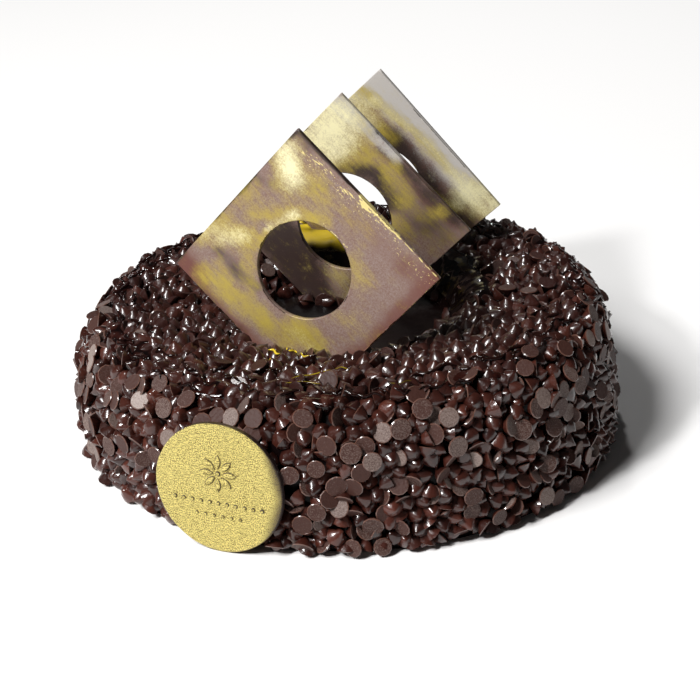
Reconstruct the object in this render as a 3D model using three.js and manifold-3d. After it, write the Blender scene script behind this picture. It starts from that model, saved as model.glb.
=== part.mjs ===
// A round cake coated all over in small drop-shaped chocolate chips. Three square chocolate plaques, each with
// a round hole, stand on one corner in its top, and a gold-dusted chocolate medallion leans on its side.
// Millimetres, +Z up. The origin is the centre of the cake's flat underside, and the cake's front faces -Y.
import * as THREE from "three";
import { mergeVertices } from "three/addons/utils/BufferGeometryUtils.js";
import Module from "manifold-3d";

// ---- the cake under its chips ----
const CORE_RADIUS = 103.5; // to the bottom of the gaps between the chips
const CORE_HEIGHT = 53.6; // of the edge of the top
const SHOULDER_WIDTH = 13; // how far the rounded top edge reaches in from the side
const SHOULDER_HEIGHT = 23; // and how far down the side it starts
const LEAN_IN = 1.2; // how much narrower the side is at the shoulder than at the foot
const WELL_RADIUS = 54; // the middle of the top is a sunken pool of ganache, and the chips stand round it as a ring
const WELL_EDGE_DROP = 1.2; // how much lower the ring is at the well than at its outer edge
const RING_RISE = 1.2; // and how far the ring bulges up between the two
const POOL_RADIUS = 42;
const POOL_HEIGHT = 43;
// It was coated by hand, so it is slightly oval and its right side is taller, squarer and leans in more.
const OVAL_RADIUS = 1.5;
const OVAL_BEARING = -21; // compass direction of the long axis
const RIGHT_TALLER = 3.2;
const RIGHT_SQUARER_WIDTH = 1.6;
const RIGHT_SQUARER_HEIGHT = 3.9;
const RIGHT_LEANS_IN = 2.4;
const FOOT_POINTS = 90; // corners of the flat underside

// ---- the chips ----
const CHIP_DIAMETER = 7.2;
const CHIP_HEIGHT = 5.0;
const CHIP_SPACING = 6.4; // least distance between the points of two neighbouring chips
const POOL_SPACING = 10; // and between the low swells of the ganache
const POOL_RELIEF = 0.15; // their height, as a share of that of the chips
const RELIEF_LOW = 2.2; // how far the points of the packed chips stand above the gaps
const RELIEF_HIGH = 4.8;
const CHIP_SIDEWAYS = 0.9; // how far a chip's point strays from its middle
const GAP_DEPTH = 0.5;
const PROUD_SPACING = 24; // the chips that stand clear of the packed ones are at least this far apart
const PROUD_BASE = 1.6; // how far above the gaps such a chip has its base
const FOOT_CHIPS = 34; // loose chips round the foot of the cake
const CHIP_SIDES = 6;
const DARTS_PER_PLACE = 60; // tries at placing a chip, for each place that the surface has

// ---- the plaques ----
const PLAQUE_SIDE = 74;
const PLAQUE_THICKNESS = 2.2;
const HOLE_CURVE_STEPS = 22;
// facing is the compass direction of the shown face, -90 being straight to the front; lean tips it back;
// roll turns the square in its own plane, from standing exactly on its corner.
const PLAQUES = [
  { name: "plaque_front", hole: 37.2, middle: [-15.2, -41.9, 84.5], facing: -111.7, lean: 8.0, roll: -3.7 },
  { name: "plaque_middle", hole: 40.3, middle: [0.1, 21.5, 77.9], facing: -109.5, lean: 4.9, roll: -1.6 },
  { name: "plaque_back", hole: 39.5, middle: [15.3, 53.0, 78.6], facing: -111.6, lean: 1.1, roll: 0.6 },
];

// ---- the medallion ----
const MEDALLION_DIAMETER = 49.5;
const MEDALLION_THICKNESS = 2.8;
const MEDALLION_BEVEL = 0.5;
const MEDALLION_SIDES = 60;
const MEDALLION_BEARING = -116.2; // where it leans on the cake, seen from above
const MEDALLION_DISTANCE = 107.6; // from the cake's axis to the middle of its shown face
const MEDALLION_FACING = -112.1;
const MEDALLION_LEAN = 5.4;
const RELIEF_RISE = 0.35; // how far its plain ornament stands up
const RELIEF_ROOT = 0.6; // and how deep each piece of it is rooted in the disc
const PETALS = 8;
const BEAD_ROWS = [
  { drop: 5.6, width: 34, count: 11, radius: 0.95 },
  { drop: 10.6, width: 17, count: 6, radius: 0.8 },
];

const CLEARANCE = 0.3; // left round each piece that is pushed into the cake or leans on it
const FRONT_ROOM = 14; // kept free of chips in front of the medallion

const COLOURS = { chips: 0x3a2422, plaque: 0x8c7a5a, medallion: 0xc9ad5e };

const wasm = await Module();
wasm.setup();

const radians = THREE.MathUtils.degToRad;

// A seeded random number from 0 to 1, so that every build is the same.
function seeded(seed) {
  let state = seed >>> 0;
  return () => {
    state = (state + 0x6d2b79f5) >>> 0;
    let t = Math.imul(state ^ (state >>> 15), 1 | state);
    t = (t + Math.imul(t ^ (t >>> 7), 61 | t)) ^ t;
    return ((t ^ (t >>> 14)) >>> 0) / 4294967296;
  };
}

// ---------------------------------------------------------------- solids and meshes

function solidOf(geometry) {
  const bare = geometry.clone();
  bare.deleteAttribute("normal");
  bare.deleteAttribute("uv");
  const merged = mergeVertices(bare, 1e-4);
  const vertProperties = new Float32Array(merged.attributes.position.array);
  const triVerts = new Uint32Array(merged.index.array);
  return new wasm.Manifold(new wasm.Mesh({ numProp: 3, vertProperties, triVerts }));
}

function geometryOf(solid) {
  const mesh = solid.getMesh();
  const geometry = new THREE.BufferGeometry();
  geometry.setAttribute("position", new THREE.BufferAttribute(new Float32Array(mesh.vertProperties), 3));
  geometry.setIndex(new THREE.BufferAttribute(new Uint32Array(mesh.triVerts), 1));
  geometry.computeVertexNormals();
  return geometry;
}

function namedMesh(name, geometry, color, roughness, metalness) {
  const mesh = new THREE.Mesh(geometry, new THREE.MeshStandardMaterial({ color, roughness, metalness }));
  mesh.name = name;
  return mesh;
}

// ---------------------------------------------------------------- the cake's outline

// The pool, the well's slope, the ring's top, the shoulder and the side follow each other on the outline's run,
// which is 0 in the middle of the pool and 1 at the foot.
const POOL_END = 0.24;
const WELL_END = 0.36;
const TOP_END = 0.6;
const SHOULDER_END = 0.8;

// The core's outline: radius and height at a run. "right" is 1 at the right of the cake, -1 at its left and 0 for
// the average outline, and "oval" is 1 along the long axis and -1 across it.
function outlinePoint(run, right, oval) {
  const width = SHOULDER_WIDTH - RIGHT_SQUARER_WIDTH * right;
  const height = SHOULDER_HEIGHT - RIGHT_SQUARER_HEIGHT * right;
  const lean = LEAN_IN + RIGHT_LEANS_IN * right;
  const edge = CORE_HEIGHT + RIGHT_TALLER * right;
  const foot = CORE_RADIUS + OVAL_RADIUS * oval;
  const topRadius = foot - lean - width;
  const wellEdge = CORE_HEIGHT - WELL_EDGE_DROP + (RIGHT_TALLER * right * WELL_RADIUS) / topRadius;
  if (run <= POOL_END) return new THREE.Vector2((POOL_RADIUS * run) / POOL_END, POOL_HEIGHT);
  if (run <= WELL_END) {
    const t = (run - POOL_END) / (WELL_END - POOL_END);
    const rise = (1 - Math.cos(Math.PI * t)) / 2;
    return new THREE.Vector2(
      THREE.MathUtils.lerp(POOL_RADIUS, WELL_RADIUS, t),
      THREE.MathUtils.lerp(POOL_HEIGHT, wellEdge, rise),
    );
  }
  if (run <= TOP_END) {
    const t = (run - WELL_END) / (TOP_END - WELL_END);
    return new THREE.Vector2(
      THREE.MathUtils.lerp(WELL_RADIUS, topRadius, t),
      THREE.MathUtils.lerp(wellEdge, edge, t) + RING_RISE * 4 * t * (1 - t),
    );
  }
  if (run <= SHOULDER_END) {
    const a = (Math.PI / 2) * ((run - TOP_END) / (SHOULDER_END - TOP_END));
    return new THREE.Vector2(topRadius + width * Math.sin(a), edge - height * (1 - Math.cos(a)));
  }
  const t = (run - SHOULDER_END) / (1 - SHOULDER_END);
  return new THREE.Vector2(foot - lean * (1 - t) ** 2, (edge - height) * (1 - t));
}

// The average outline, with a running angle-true radius that lays the whole surface out flat.
const LAYOUT_STEPS = 200;
const LAYOUT = Array.from({ length: LAYOUT_STEPS + 1 }, (_, i) => outlinePoint(i / LAYOUT_STEPS, 0, 0));
const LAYOUT_RADII = [];
LAYOUT.forEach((point, i) => {
  const last = LAYOUT[i - 1];
  if (i < 2) LAYOUT_RADII.push(point.x);
  else LAYOUT_RADII.push(LAYOUT_RADII[i - 1] * Math.exp(point.distanceTo(last) / ((point.x + last.x) / 2)));
});

// A point of the core's surface, with its outward normal and its place in the flat layout.
function surfacePoint(run, angle) {
  const at = (u, v) => {
    const { x, y } = outlinePoint(u, Math.cos(v), Math.cos(2 * (v - radians(OVAL_BEARING))));
    return new THREE.Vector3(x * Math.cos(v), x * Math.sin(v), y);
  };
  const position = at(run, angle);
  const step = 1e-3;
  const down = at(Math.min(run + step, 1), angle).sub(at(Math.max(run - step, 0), angle));
  const around = new THREE.Vector3(-Math.sin(angle), Math.cos(angle), 0);
  const normal = down.cross(around).normalize();
  const i = Math.min(Math.floor(run * LAYOUT_STEPS), LAYOUT_STEPS - 1);
  const flat = THREE.MathUtils.lerp(LAYOUT_RADII[i], LAYOUT_RADII[i + 1], run * LAYOUT_STEPS - i);
  return { position, normal, run, flat: [flat * Math.cos(angle), flat * Math.sin(angle)] };
}

// A run along the outline drawn at random, evenly by the area of the surface.
function randomRun(random) {
  for (;;) {
    const run = random();
    const i = Math.min(Math.floor(run * LAYOUT_STEPS), LAYOUT_STEPS - 1);
    const area = (LAYOUT[i].x + LAYOUT[i + 1].x) * LAYOUT[i].distanceTo(LAYOUT[i + 1]) * LAYOUT_STEPS;
    if (random() * LARGEST_AREA < area) return run;
  }
}
const LARGEST_AREA = Math.max(
  ...LAYOUT.slice(1).map((p, i) => (p.x + LAYOUT[i].x) * p.distanceTo(LAYOUT[i]) * LAYOUT_STEPS),
);

// Points scattered over the surface, no two closer than the spacing, which may be another one in the pool.
function scatter(spacing, poolSpacing, random, lowest) {
  const cells = new Map();
  const cellSize = Math.max(spacing, poolSpacing);
  const keyOf = (i, j, k) => `${i},${j},${k}`;
  const found = [];
  const darts = Math.round((DARTS_PER_PLACE * CORE_RADIUS * CORE_RADIUS * 2 * Math.PI) / (spacing * spacing));
  for (let n = 0; n < darts; n++) {
    const run = randomRun(random);
    const point = surfacePoint(run, 2 * Math.PI * random());
    const [i, j, k] = point.position.toArray().map((v) => Math.floor(v / cellSize));
    const near = [-1, 0, 1].flatMap((x) =>
      [-1, 0, 1].flatMap((y) => [-1, 0, 1].flatMap((z) => cells.get(keyOf(i + x, j + y, k + z)) ?? [])),
    );
    const room = run < POOL_END ? poolSpacing : spacing;
    if (point.position.z < lowest || near.some((q) => q.distanceTo(point.position) < room)) continue;
    cells.set(keyOf(i, j, k), [...(cells.get(keyOf(i, j, k)) ?? []), point.position]);
    found.push(point);
  }
  return found;
}

// ---------------------------------------------------------------- the packed chips, as relief

// Delaunay triangles of points in the plane, by adding one point at a time.
function delaunay(points) {
  const far = 1e6;
  const all = [...points, [-far, -far], [far, -far], [0, far]];
  const withCircle = (a, b, c) => {
    const [ax, ay] = all[a];
    const bx = all[b][0] - ax;
    const by = all[b][1] - ay;
    const cx = all[c][0] - ax;
    const cy = all[c][1] - ay;
    const d = 2 * (bx * cy - by * cx);
    const ux = (cy * (bx * bx + by * by) - by * (cx * cx + cy * cy)) / d;
    const uy = (bx * (cx * cx + cy * cy) - cx * (bx * bx + by * by)) / d;
    return { corners: d > 0 ? [a, b, c] : [a, c, b], x: ax + ux, y: ay + uy, rr: ux * ux + uy * uy };
  };
  let triangles = [withCircle(points.length, points.length + 1, points.length + 2)];
  points.forEach(([x, y], n) => {
    const edges = new Map();
    triangles = triangles.filter((t) => {
      if ((x - t.x) ** 2 + (y - t.y) ** 2 >= t.rr) return true;
      t.corners.forEach((a, i) => {
        const b = t.corners[(i + 1) % 3];
        if (!edges.delete(`${b},${a}`)) edges.set(`${a},${b}`, [a, b]);
      });
      return false;
    });
    for (const [a, b] of edges.values()) triangles.push(withCircle(a, b, n));
  });
  return triangles.map((t) => t.corners).filter((c) => Math.max(...c) < points.length);
}

// The closed body of the cake: each packed chip is a pointed facet group that falls to the gaps around it.
function reliefBody() {
  const random = seeded(20);
  const chips = scatter(CHIP_SPACING, POOL_SPACING, random, 0.45 * CHIP_SPACING);
  const foot = Array.from({ length: FOOT_POINTS }, (_, i) =>
    surfacePoint(1, (2 * Math.PI * i) / FOOT_POINTS),
  );
  const sites = [...chips, ...foot];
  const isChip = (i) => i < chips.length;
  const vertices = sites.map((site, i) => {
    if (!isChip(i)) return site.position;
    const sideways = new THREE.Vector3(random() - 0.5, random() - 0.5, random() - 0.5);
    const rise = RELIEF_LOW + (RELIEF_HIGH - RELIEF_LOW) * random();
    const share = site.run < POOL_END ? POOL_RELIEF : 1;
    const point = site.position.clone().addScaledVector(site.normal, share * rise);
    point.addScaledVector(sideways, 2 * CHIP_SIDEWAYS * share);
    point.z = Math.max(point.z, 1.2);
    return point;
  });
  const faces = [];
  const gapOfEdge = new Map();
  for (const corners of delaunay(sites.map((site) => site.flat))) {
    if (corners.filter(isChip).length < 2) {
      faces.push(corners);
      continue;
    }
    const gap = new THREE.Vector3();
    const normal = new THREE.Vector3();
    for (const i of corners) {
      gap.addScaledVector(sites[i].position, 1 / 3);
      normal.add(sites[i].normal);
    }
    gap.addScaledVector(normal.normalize(), -GAP_DEPTH * random());
    vertices.push(gap);
    const here = vertices.length - 1;
    corners.forEach((a, i) => {
      const b = corners[(i + 1) % 3];
      if (isChip(a) && isChip(b)) gapOfEdge.set(`${a},${b}`, here);
      else faces.push([a, b, here]);
    });
  }
  // Between two chips runs a gap, never a ridge from point to point.
  for (const [edge, here] of gapOfEdge) {
    const [a, b] = edge.split(",").map(Number);
    faces.push([a, gapOfEdge.get(`${b},${a}`), here]);
  }
  const middle = vertices.push(new THREE.Vector3(0, 0, 0)) - 1;
  foot.forEach((_, i) => {
    const next = (i + 1) % FOOT_POINTS;
    faces.push([middle, chips.length + next, chips.length + i]);
  });
  const geometry = new THREE.BufferGeometry().setFromPoints(vertices);
  geometry.setIndex(faces.flat());
  return solidOf(geometry);
}

// ---------------------------------------------------------------- single chips

// A drop: flat round base at z 0, rounded flank, blunt point.
const CHIP_GEOMETRY = new THREE.LatheGeometry(
  [
    new THREE.Vector2(0, 0),
    new THREE.Vector2(CHIP_DIAMETER / 2, 0),
    new THREE.Vector2(CHIP_DIAMETER * 0.38, CHIP_HEIGHT * 0.52),
    new THREE.Vector2(0, CHIP_HEIGHT),
  ],
  CHIP_SIDES,
).rotateX(Math.PI / 2);
const CHIP_SOLID = solidOf(CHIP_GEOMETRY);

// One chip with its axis along a direction, its base's middle at a point.
function chipAt(point, axis, turn) {
  const matrix = new THREE.Matrix4().makeRotationFromQuaternion(
    new THREE.Quaternion()
      .setFromUnitVectors(new THREE.Vector3(0, 0, 1), axis.clone().normalize())
      .multiply(new THREE.Quaternion().setFromAxisAngle(new THREE.Vector3(0, 0, 1), turn)),
  );
  return CHIP_SOLID.transform(matrix.setPosition(point).elements);
}

// Chips that stand clear of the packed ones, some with the point out and some with the flat base out.
function proudChips() {
  const random = seeded(7);
  return scatter(PROUD_SPACING, PROUD_SPACING, random, CHIP_DIAMETER)
    .filter(({ position, run }) => run > POOL_END && clearOfPieces(position))
    .map(({ position, normal }) => {
      const baseOut = random() < 0.35;
      const tilt = new THREE.Vector3(random() - 0.5, random() - 0.5, random() - 0.5);
      const axis = normal.clone().addScaledVector(tilt, 0.9).multiplyScalar(baseOut ? -1 : 1);
      const base = baseOut ? CHIP_HEIGHT : PROUD_BASE;
      return chipAt(position.clone().addScaledVector(normal, base), axis, 2 * Math.PI * random());
    });
}

// Loose chips lying against the foot of the cake, on the surface it stands on.
function footChips() {
  const random = seeded(31);
  const chips = [];
  for (let i = 0; i < FOOT_CHIPS; i++) {
    const angle = (2 * Math.PI * (i + 0.7 * random())) / FOOT_CHIPS;
    const { position, normal } = surfacePoint(1, angle);
    const upright = random() < 0.5;
    const axis = new THREE.Vector3(normal.x, normal.y, 0)
      .applyAxisAngle(new THREE.Vector3(0, 0, 1), random() - 0.5)
      .multiplyScalar(upright ? 0.25 : 1)
      .add(new THREE.Vector3(0, 0, upright ? 1 : 0.1));
    const point = position.clone().addScaledVector(normal, 1.4 + 1.2 * random());
    point.z = upright ? 0.25 + 0.23 * CHIP_DIAMETER * 0.5 : CHIP_DIAMETER / 2 + 0.3;
    if (clearOfPieces(point)) chips.push(chipAt(point, axis, 2 * Math.PI * random()));
  }
  return chips;
}

// ---------------------------------------------------------------- plaques and medallion

// The frame of a flat piece: x to the right and y up in its plane, z out of its shown face.
function poseOf(middle, facing, lean, roll) {
  const out = new THREE.Vector3(
    Math.cos(radians(lean)) * Math.cos(radians(facing)),
    Math.cos(radians(lean)) * Math.sin(radians(facing)),
    Math.sin(radians(lean)),
  );
  const across = new THREE.Vector3(0, 0, 1).cross(out).normalize();
  const up = out.clone().cross(across);
  const matrix = new THREE.Matrix4().makeBasis(across, up, out);
  return matrix.multiply(new THREE.Matrix4().makeRotationZ(-radians(roll))).setPosition(...middle);
}

// A square standing on its corner, centred on the origin.
function squareOnCorner(side) {
  const half = side / Math.SQRT2;
  return new THREE.Shape([
    new THREE.Vector2(0, -half),
    new THREE.Vector2(half, 0),
    new THREE.Vector2(0, half),
    new THREE.Vector2(-half, 0),
  ]);
}

function plaqueGeometry(hole) {
  const outline = squareOnCorner(PLAQUE_SIDE);
  outline.holes.push(new THREE.Path().absarc(0, 0, hole / 2, 0, 2 * Math.PI, true));
  const geometry = new THREE.ExtrudeGeometry(outline, {
    depth: PLAQUE_THICKNESS,
    bevelEnabled: false,
    curveSegments: HOLE_CURVE_STEPS,
  });
  return geometry.translate(0, 0, -PLAQUE_THICKNESS / 2);
}

// What each plaque takes out of the cake: its own outline and a clearance all round.
function slotSolid({ middle, facing, lean, roll }) {
  const thickness = PLAQUE_THICKNESS + 2 * CLEARANCE;
  const geometry = new THREE.ExtrudeGeometry(squareOnCorner(PLAQUE_SIDE + 2 * CLEARANCE), {
    depth: thickness,
    bevelEnabled: false,
  }).translate(0, 0, -thickness / 2);
  return solidOf(geometry.applyMatrix4(poseOf(middle, facing, lean, roll)));
}

const MEDALLION_RADIUS = MEDALLION_DIAMETER / 2;
// The middle of the shown face is so high that the lowest edge of the tilted disc touches z 0.
const MEDALLION_RAISE =
  MEDALLION_RADIUS * Math.cos(radians(MEDALLION_LEAN)) +
  (MEDALLION_THICKNESS - MEDALLION_BEVEL) * Math.sin(radians(MEDALLION_LEAN));
const MEDALLION_POSE = poseOf(
  [
    MEDALLION_DISTANCE * Math.cos(radians(MEDALLION_BEARING)),
    MEDALLION_DISTANCE * Math.sin(radians(MEDALLION_BEARING)),
    MEDALLION_RAISE,
  ],
  MEDALLION_FACING,
  MEDALLION_LEAN,
  0,
);

// A closed disc with softened rims, its shown face at z 0 and its body behind it.
function medallionDisc() {
  const profile = [
    new THREE.Vector2(0, -MEDALLION_THICKNESS),
    new THREE.Vector2(MEDALLION_RADIUS - MEDALLION_BEVEL, -MEDALLION_THICKNESS),
    new THREE.Vector2(MEDALLION_RADIUS, -MEDALLION_THICKNESS + MEDALLION_BEVEL),
    new THREE.Vector2(MEDALLION_RADIUS, -MEDALLION_BEVEL),
    new THREE.Vector2(MEDALLION_RADIUS - MEDALLION_BEVEL, 0),
    new THREE.Vector2(0, 0),
  ];
  return solidOf(new THREE.LatheGeometry(profile, MEDALLION_SIDES).rotateX(Math.PI / 2));
}

// One petal of the rosette: a low pointed lens, lying along an angle.
function petal(angle) {
  const inner = 1.6;
  const outer = 7.4;
  const shape = new THREE.Shape();
  shape.moveTo(inner, 0);
  shape.quadraticCurveTo((inner + outer) / 2, 2.6, outer, 0);
  shape.quadraticCurveTo((inner + outer) / 2, -2.6, inner, 0);
  const geometry = new THREE.ExtrudeGeometry(shape, {
    depth: RELIEF_RISE + RELIEF_ROOT,
    bevelEnabled: false,
    curveSegments: 4,
  });
  geometry.translate(0, 0, -RELIEF_ROOT);
  return solidOf(geometry.rotateZ(angle));
}

function bead(x, y, radius) {
  const geometry = new THREE.CylinderGeometry(radius * 0.6, radius, RELIEF_RISE + RELIEF_ROOT, 6);
  geometry.rotateX(Math.PI / 2).translate(x, y, (RELIEF_RISE - RELIEF_ROOT) / 2);
  return solidOf(geometry);
}

// The ornament is a plain rosette over two rows of beads.
function medallionSolid() {
  const pieces = [medallionDisc()];
  const rosetteHeight = 6;
  for (let i = 0; i < PETALS; i++) {
    const one = petal((2 * Math.PI * i) / PETALS);
    pieces.push(one.translate([0, rosetteHeight, 0]));
  }
  pieces.push(bead(0, rosetteHeight, 1.2));
  for (const { drop, width, count, radius } of BEAD_ROWS)
    for (let i = 0; i < count; i++) pieces.push(bead(width * (i / (count - 1) - 0.5), -drop, radius));
  return wasm.Manifold.union(pieces).transform(MEDALLION_POSE.elements);
}

// What the medallion takes out of the chips: its own body, a clearance, and room in front of its face.
function medallionRoom() {
  const depth = MEDALLION_THICKNESS + CLEARANCE + FRONT_ROOM;
  const geometry = new THREE.CylinderGeometry(
    MEDALLION_RADIUS + CLEARANCE,
    MEDALLION_RADIUS + CLEARANCE,
    depth,
    MEDALLION_SIDES,
  );
  geometry.rotateX(Math.PI / 2).translate(0, 0, FRONT_ROOM - depth / 2);
  return solidOf(geometry.applyMatrix4(MEDALLION_POSE));
}

// True where a single chip would stay clear of the plaques and the medallion.
function clearOfPieces(position) {
  const away = CHIP_DIAMETER * 1.1;
  const nearPlaque = PLAQUES.some(({ middle, facing, lean, roll }) => {
    const local = position.clone().applyMatrix4(poseOf(middle, facing, lean, roll).invert());
    return Math.abs(local.z) < away && Math.abs(local.x) + Math.abs(local.y) < PLAQUE_SIDE / Math.SQRT2 + away;
  });
  const onDisc = position.clone().applyMatrix4(MEDALLION_POSE.clone().invert());
  const nearMedallion = Math.hypot(onDisc.x, onDisc.y) < MEDALLION_RADIUS + away / 2 && Math.abs(onDisc.z) < 20;
  return !nearPlaque && !nearMedallion;
}

// ---------------------------------------------------------------- the whole

function cakeSolid() {
  const body = wasm.Manifold.union([reliefBody(), ...proudChips(), ...footChips()]);
  const cut = body.subtract(wasm.Manifold.union([...PLAQUES.map(slotSolid), medallionRoom()]));
  // A chip's cut-off scrap is dropped, so that one body is left.
  return cut.decompose().sort((a, b) => b.volume() - a.volume())[0];
}

const cake = new THREE.Group();
cake.add(namedMesh("cake", geometryOf(cakeSolid()), COLOURS.chips, 0.45, 0));
for (const plaque of PLAQUES) {
  const mesh = namedMesh(plaque.name, plaqueGeometry(plaque.hole), COLOURS.plaque, 0.4, 0.3);
  mesh.applyMatrix4(poseOf(plaque.middle, plaque.facing, plaque.lean, plaque.roll));
  cake.add(mesh);
}
cake.add(namedMesh("medallion", geometryOf(medallionSolid()), COLOURS.medallion, 0.4, 0.7));

export default cake;
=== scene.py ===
"""A round cake coated all over in small chocolate chips, dressed for a studio picture.

The ganache core, the chips, the glaze, three gilded chocolate plaques and a gold-dusted medallion are made here.
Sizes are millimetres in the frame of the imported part: +Z up, the origin in the middle of the cake's flat underside
and the front towards -Y. Meshes are written in metres.
"""

import logging
import math
from collections.abc import Callable
from dataclasses import dataclass, field, fields
from enum import Enum
from functools import partial

import bpy
import numpy as np
from bpy.types import Material, Node, Object
from mathutils import Matrix, Vector, noise
from mathutils.bvhtree import BVHTree
from mathutils.kdtree import KDTree


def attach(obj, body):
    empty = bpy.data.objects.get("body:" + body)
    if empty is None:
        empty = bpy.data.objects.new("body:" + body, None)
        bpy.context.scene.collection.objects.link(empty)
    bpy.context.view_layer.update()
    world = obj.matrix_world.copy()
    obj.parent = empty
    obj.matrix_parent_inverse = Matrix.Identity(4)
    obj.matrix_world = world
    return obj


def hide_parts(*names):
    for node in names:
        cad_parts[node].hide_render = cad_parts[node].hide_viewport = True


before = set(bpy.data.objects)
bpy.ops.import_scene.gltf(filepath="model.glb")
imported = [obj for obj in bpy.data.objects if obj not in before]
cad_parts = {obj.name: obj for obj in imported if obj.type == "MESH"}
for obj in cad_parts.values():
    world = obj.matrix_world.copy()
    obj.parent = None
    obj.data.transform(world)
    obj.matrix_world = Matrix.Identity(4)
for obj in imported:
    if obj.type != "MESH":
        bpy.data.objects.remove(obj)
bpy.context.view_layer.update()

log = logging.getLogger("chip_cake")

MM = 0.001
TURN = 2 * math.pi
BODY = "root"
Z_AXIS = np.array([0.0, 0.0, 1.0])

Array = np.ndarray
Rng = np.random.Generator
Span =tuple[float, float]
Point =tuple[float, float, float]
Path = tuple[Span, ...]


# ---------------------------------------------------------------- small tools


def linear(hex_colour: str) -> tuple[float, float, float, float]:
    """Turns an sRGB hex colour to the linear colour that a socket takes.

    Args:
        hex_colour: A colour such as "#3a2422".

    Returns:
        Red, green, blue and an alpha of 1.
    """
    channels = [int(hex_colour[i : i + 2], 16) / 255 for i in (1, 3, 5)]
    red, green, blue = (c / 12.92 if c <= 0.04045 else ((c + 0.055) / 1.055) ** 2.4 for c in channels)
    return red, green, blue, 1.0


def shown(sockets: bpy.types.bpy_prop_collection, name: str) -> bpy.types.NodeSocket:
    """Finds the socket of a name that a node's settings leave in use."""
    return next(s for s in sockets if s.enabled and s.name == name)


def feed(node: Node, inputs: dict) -> None:
    """Gives inputs of a node their values.

    Args:
        node: The node.
        inputs: Values by the name or the number of the input. A socket is linked, and of a node the first output
            that is in use.
    """
    for key, value in inputs.items():
        socket = node.inputs[key] if isinstance(key, int) else shown(node.inputs, key)
        if isinstance(value, Node):
            value = next(s for s in value.outputs if s.enabled)
        if isinstance(value, bpy.types.NodeSocket):
            node.id_data.links.new(value, socket)
        else:
            socket.default_value = value


def add_node(tree: bpy.types.NodeTree, kind: str, inputs: dict | None = None, **settings: object) -> Node:
    """Adds a node to a tree.

    Args:
        tree: The shader or geometry tree.
        kind: The node's class name.
        inputs: Values for its inputs, as for feed.
        **settings: Properties of the node, set before its inputs.

    Returns:
        The new node.
    """
    node = tree.nodes.new(kind)
    for name, value in settings.items():
        setattr(node, name, value)
    feed(node, inputs or {})
    return node


def new_material(name: str) -> tuple[Material, Node, Callable[..., Node]]:
    """Makes a material, and returns it with its shader and with add_node for its tree."""
    material = bpy.data.materials.new(name)
    material.use_nodes = True
    return material, material.node_tree.nodes["Principled BSDF"], partial(add_node, material.node_tree)


def new_object(name: str, data: bpy.types.ID) -> Object:
    """Makes an object of a mesh, a light or a camera, and links it to the scene."""
    made = bpy.data.objects.new(name, data)
    bpy.context.scene.collection.objects.link(made)
    return made


def smooth_step(low: float, high: float, value: Array) -> Array:
    """Rises smoothly from 0 at low to 1 at high, or falls where high is the smaller."""
    t = np.clip((value - low) / (high - low), 0, 1)
    return t * t * (3 - 2 * t)


def unit(vectors: Array) -> Array:
    """Vectors of length 1 in the same directions, one a row."""
    return vectors / np.linalg.norm(vectors, axis=1, keepdims=True)


def even_angles(count: int) -> Array:
    """Angles that go evenly once round, in radians."""
    return np.arange(count) * TURN / count


@dataclass(frozen=True)
class Waves:
    """Smooth random heights.

    Attributes:
        size: The width of a wave in millimetres.
        seed: Another number gives other waves.
        height: About how high the highest are.
    """

    size: float
    seed: int
    height: float = 1.0

    def at(self, points: Array) -> Array:
        """The height at each of some points, which are in millimetres, one a row."""
        seed_offset = 31.7 * self.seed
        return self.height * np.array([noise.noise(Vector(p)) for p in points / self.size + seed_offset])


def mesh_piece(
    name: str,
    points: Array,
    faces: list,
    material: Material,
    floats: dict[str, Array] | None = None,
    sheet: Array | None = None,
) -> Object:
    """Makes a smooth mesh object at the origin.

    Args:
        name: The object's name.
        points: Its vertices in millimetres, one a row.
        faces: Rows of vertex numbers.
        material: What it is made of.
        floats: Named numbers, one for each vertex.
        sheet: Where each vertex lies in the piece's own plane, which its material reads.

    Returns:
        The object, riding on the cake's body.
    """
    mesh = bpy.data.meshes.new(name)
    mesh.from_pydata((np.asarray(points) * MM).tolist(), [], [list(map(int, f)) for f in faces])
    mesh.shade_smooth()
    for label, values in (floats or {}).items():
        mesh.attributes.new(label, "FLOAT", "POINT").data.foreach_set("value", np.asarray(values, np.float32))
    if sheet is not None:
        places = mesh.attributes.new("sheet", "FLOAT_VECTOR", "POINT")
        places.data.foreach_set("vector", sheet.astype(np.float32).ravel())
    mesh.materials.append(material)
    mesh.update()
    piece = new_object(name, mesh)
    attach(piece, BODY)
    return piece


def grid_faces(rows: int, columns: int, close_rows: bool = False) -> list[tuple[int, int, int, int]]:
    """Quads between rows of points that each run once round.

    Args:
        rows: How many rows there are.
        columns: How many points each row has; the last joins the first.
        close_rows: Whether the last row joins the first as well.

    Returns:
        The quads, as vertex numbers.
    """
    faces = []
    for i in range(rows if close_rows else rows - 1):
        here, there = i * columns, ((i + 1) % rows) * columns
        for j in range(columns):
            k = (j + 1) % columns
            faces.append((here + j, there + j, there + k, here + k))
    return faces


def run_grid(runs: Array, columns: int) -> tuple[Array, Array]:
    """Runs and angles of a grid over the cake: each run at even angles once round."""
    run, angle = np.meshgrid(runs, np.linspace(0, TURN, columns, endpoint=False), indexing="ij")
    return run.ravel(), angle.ravel()


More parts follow.
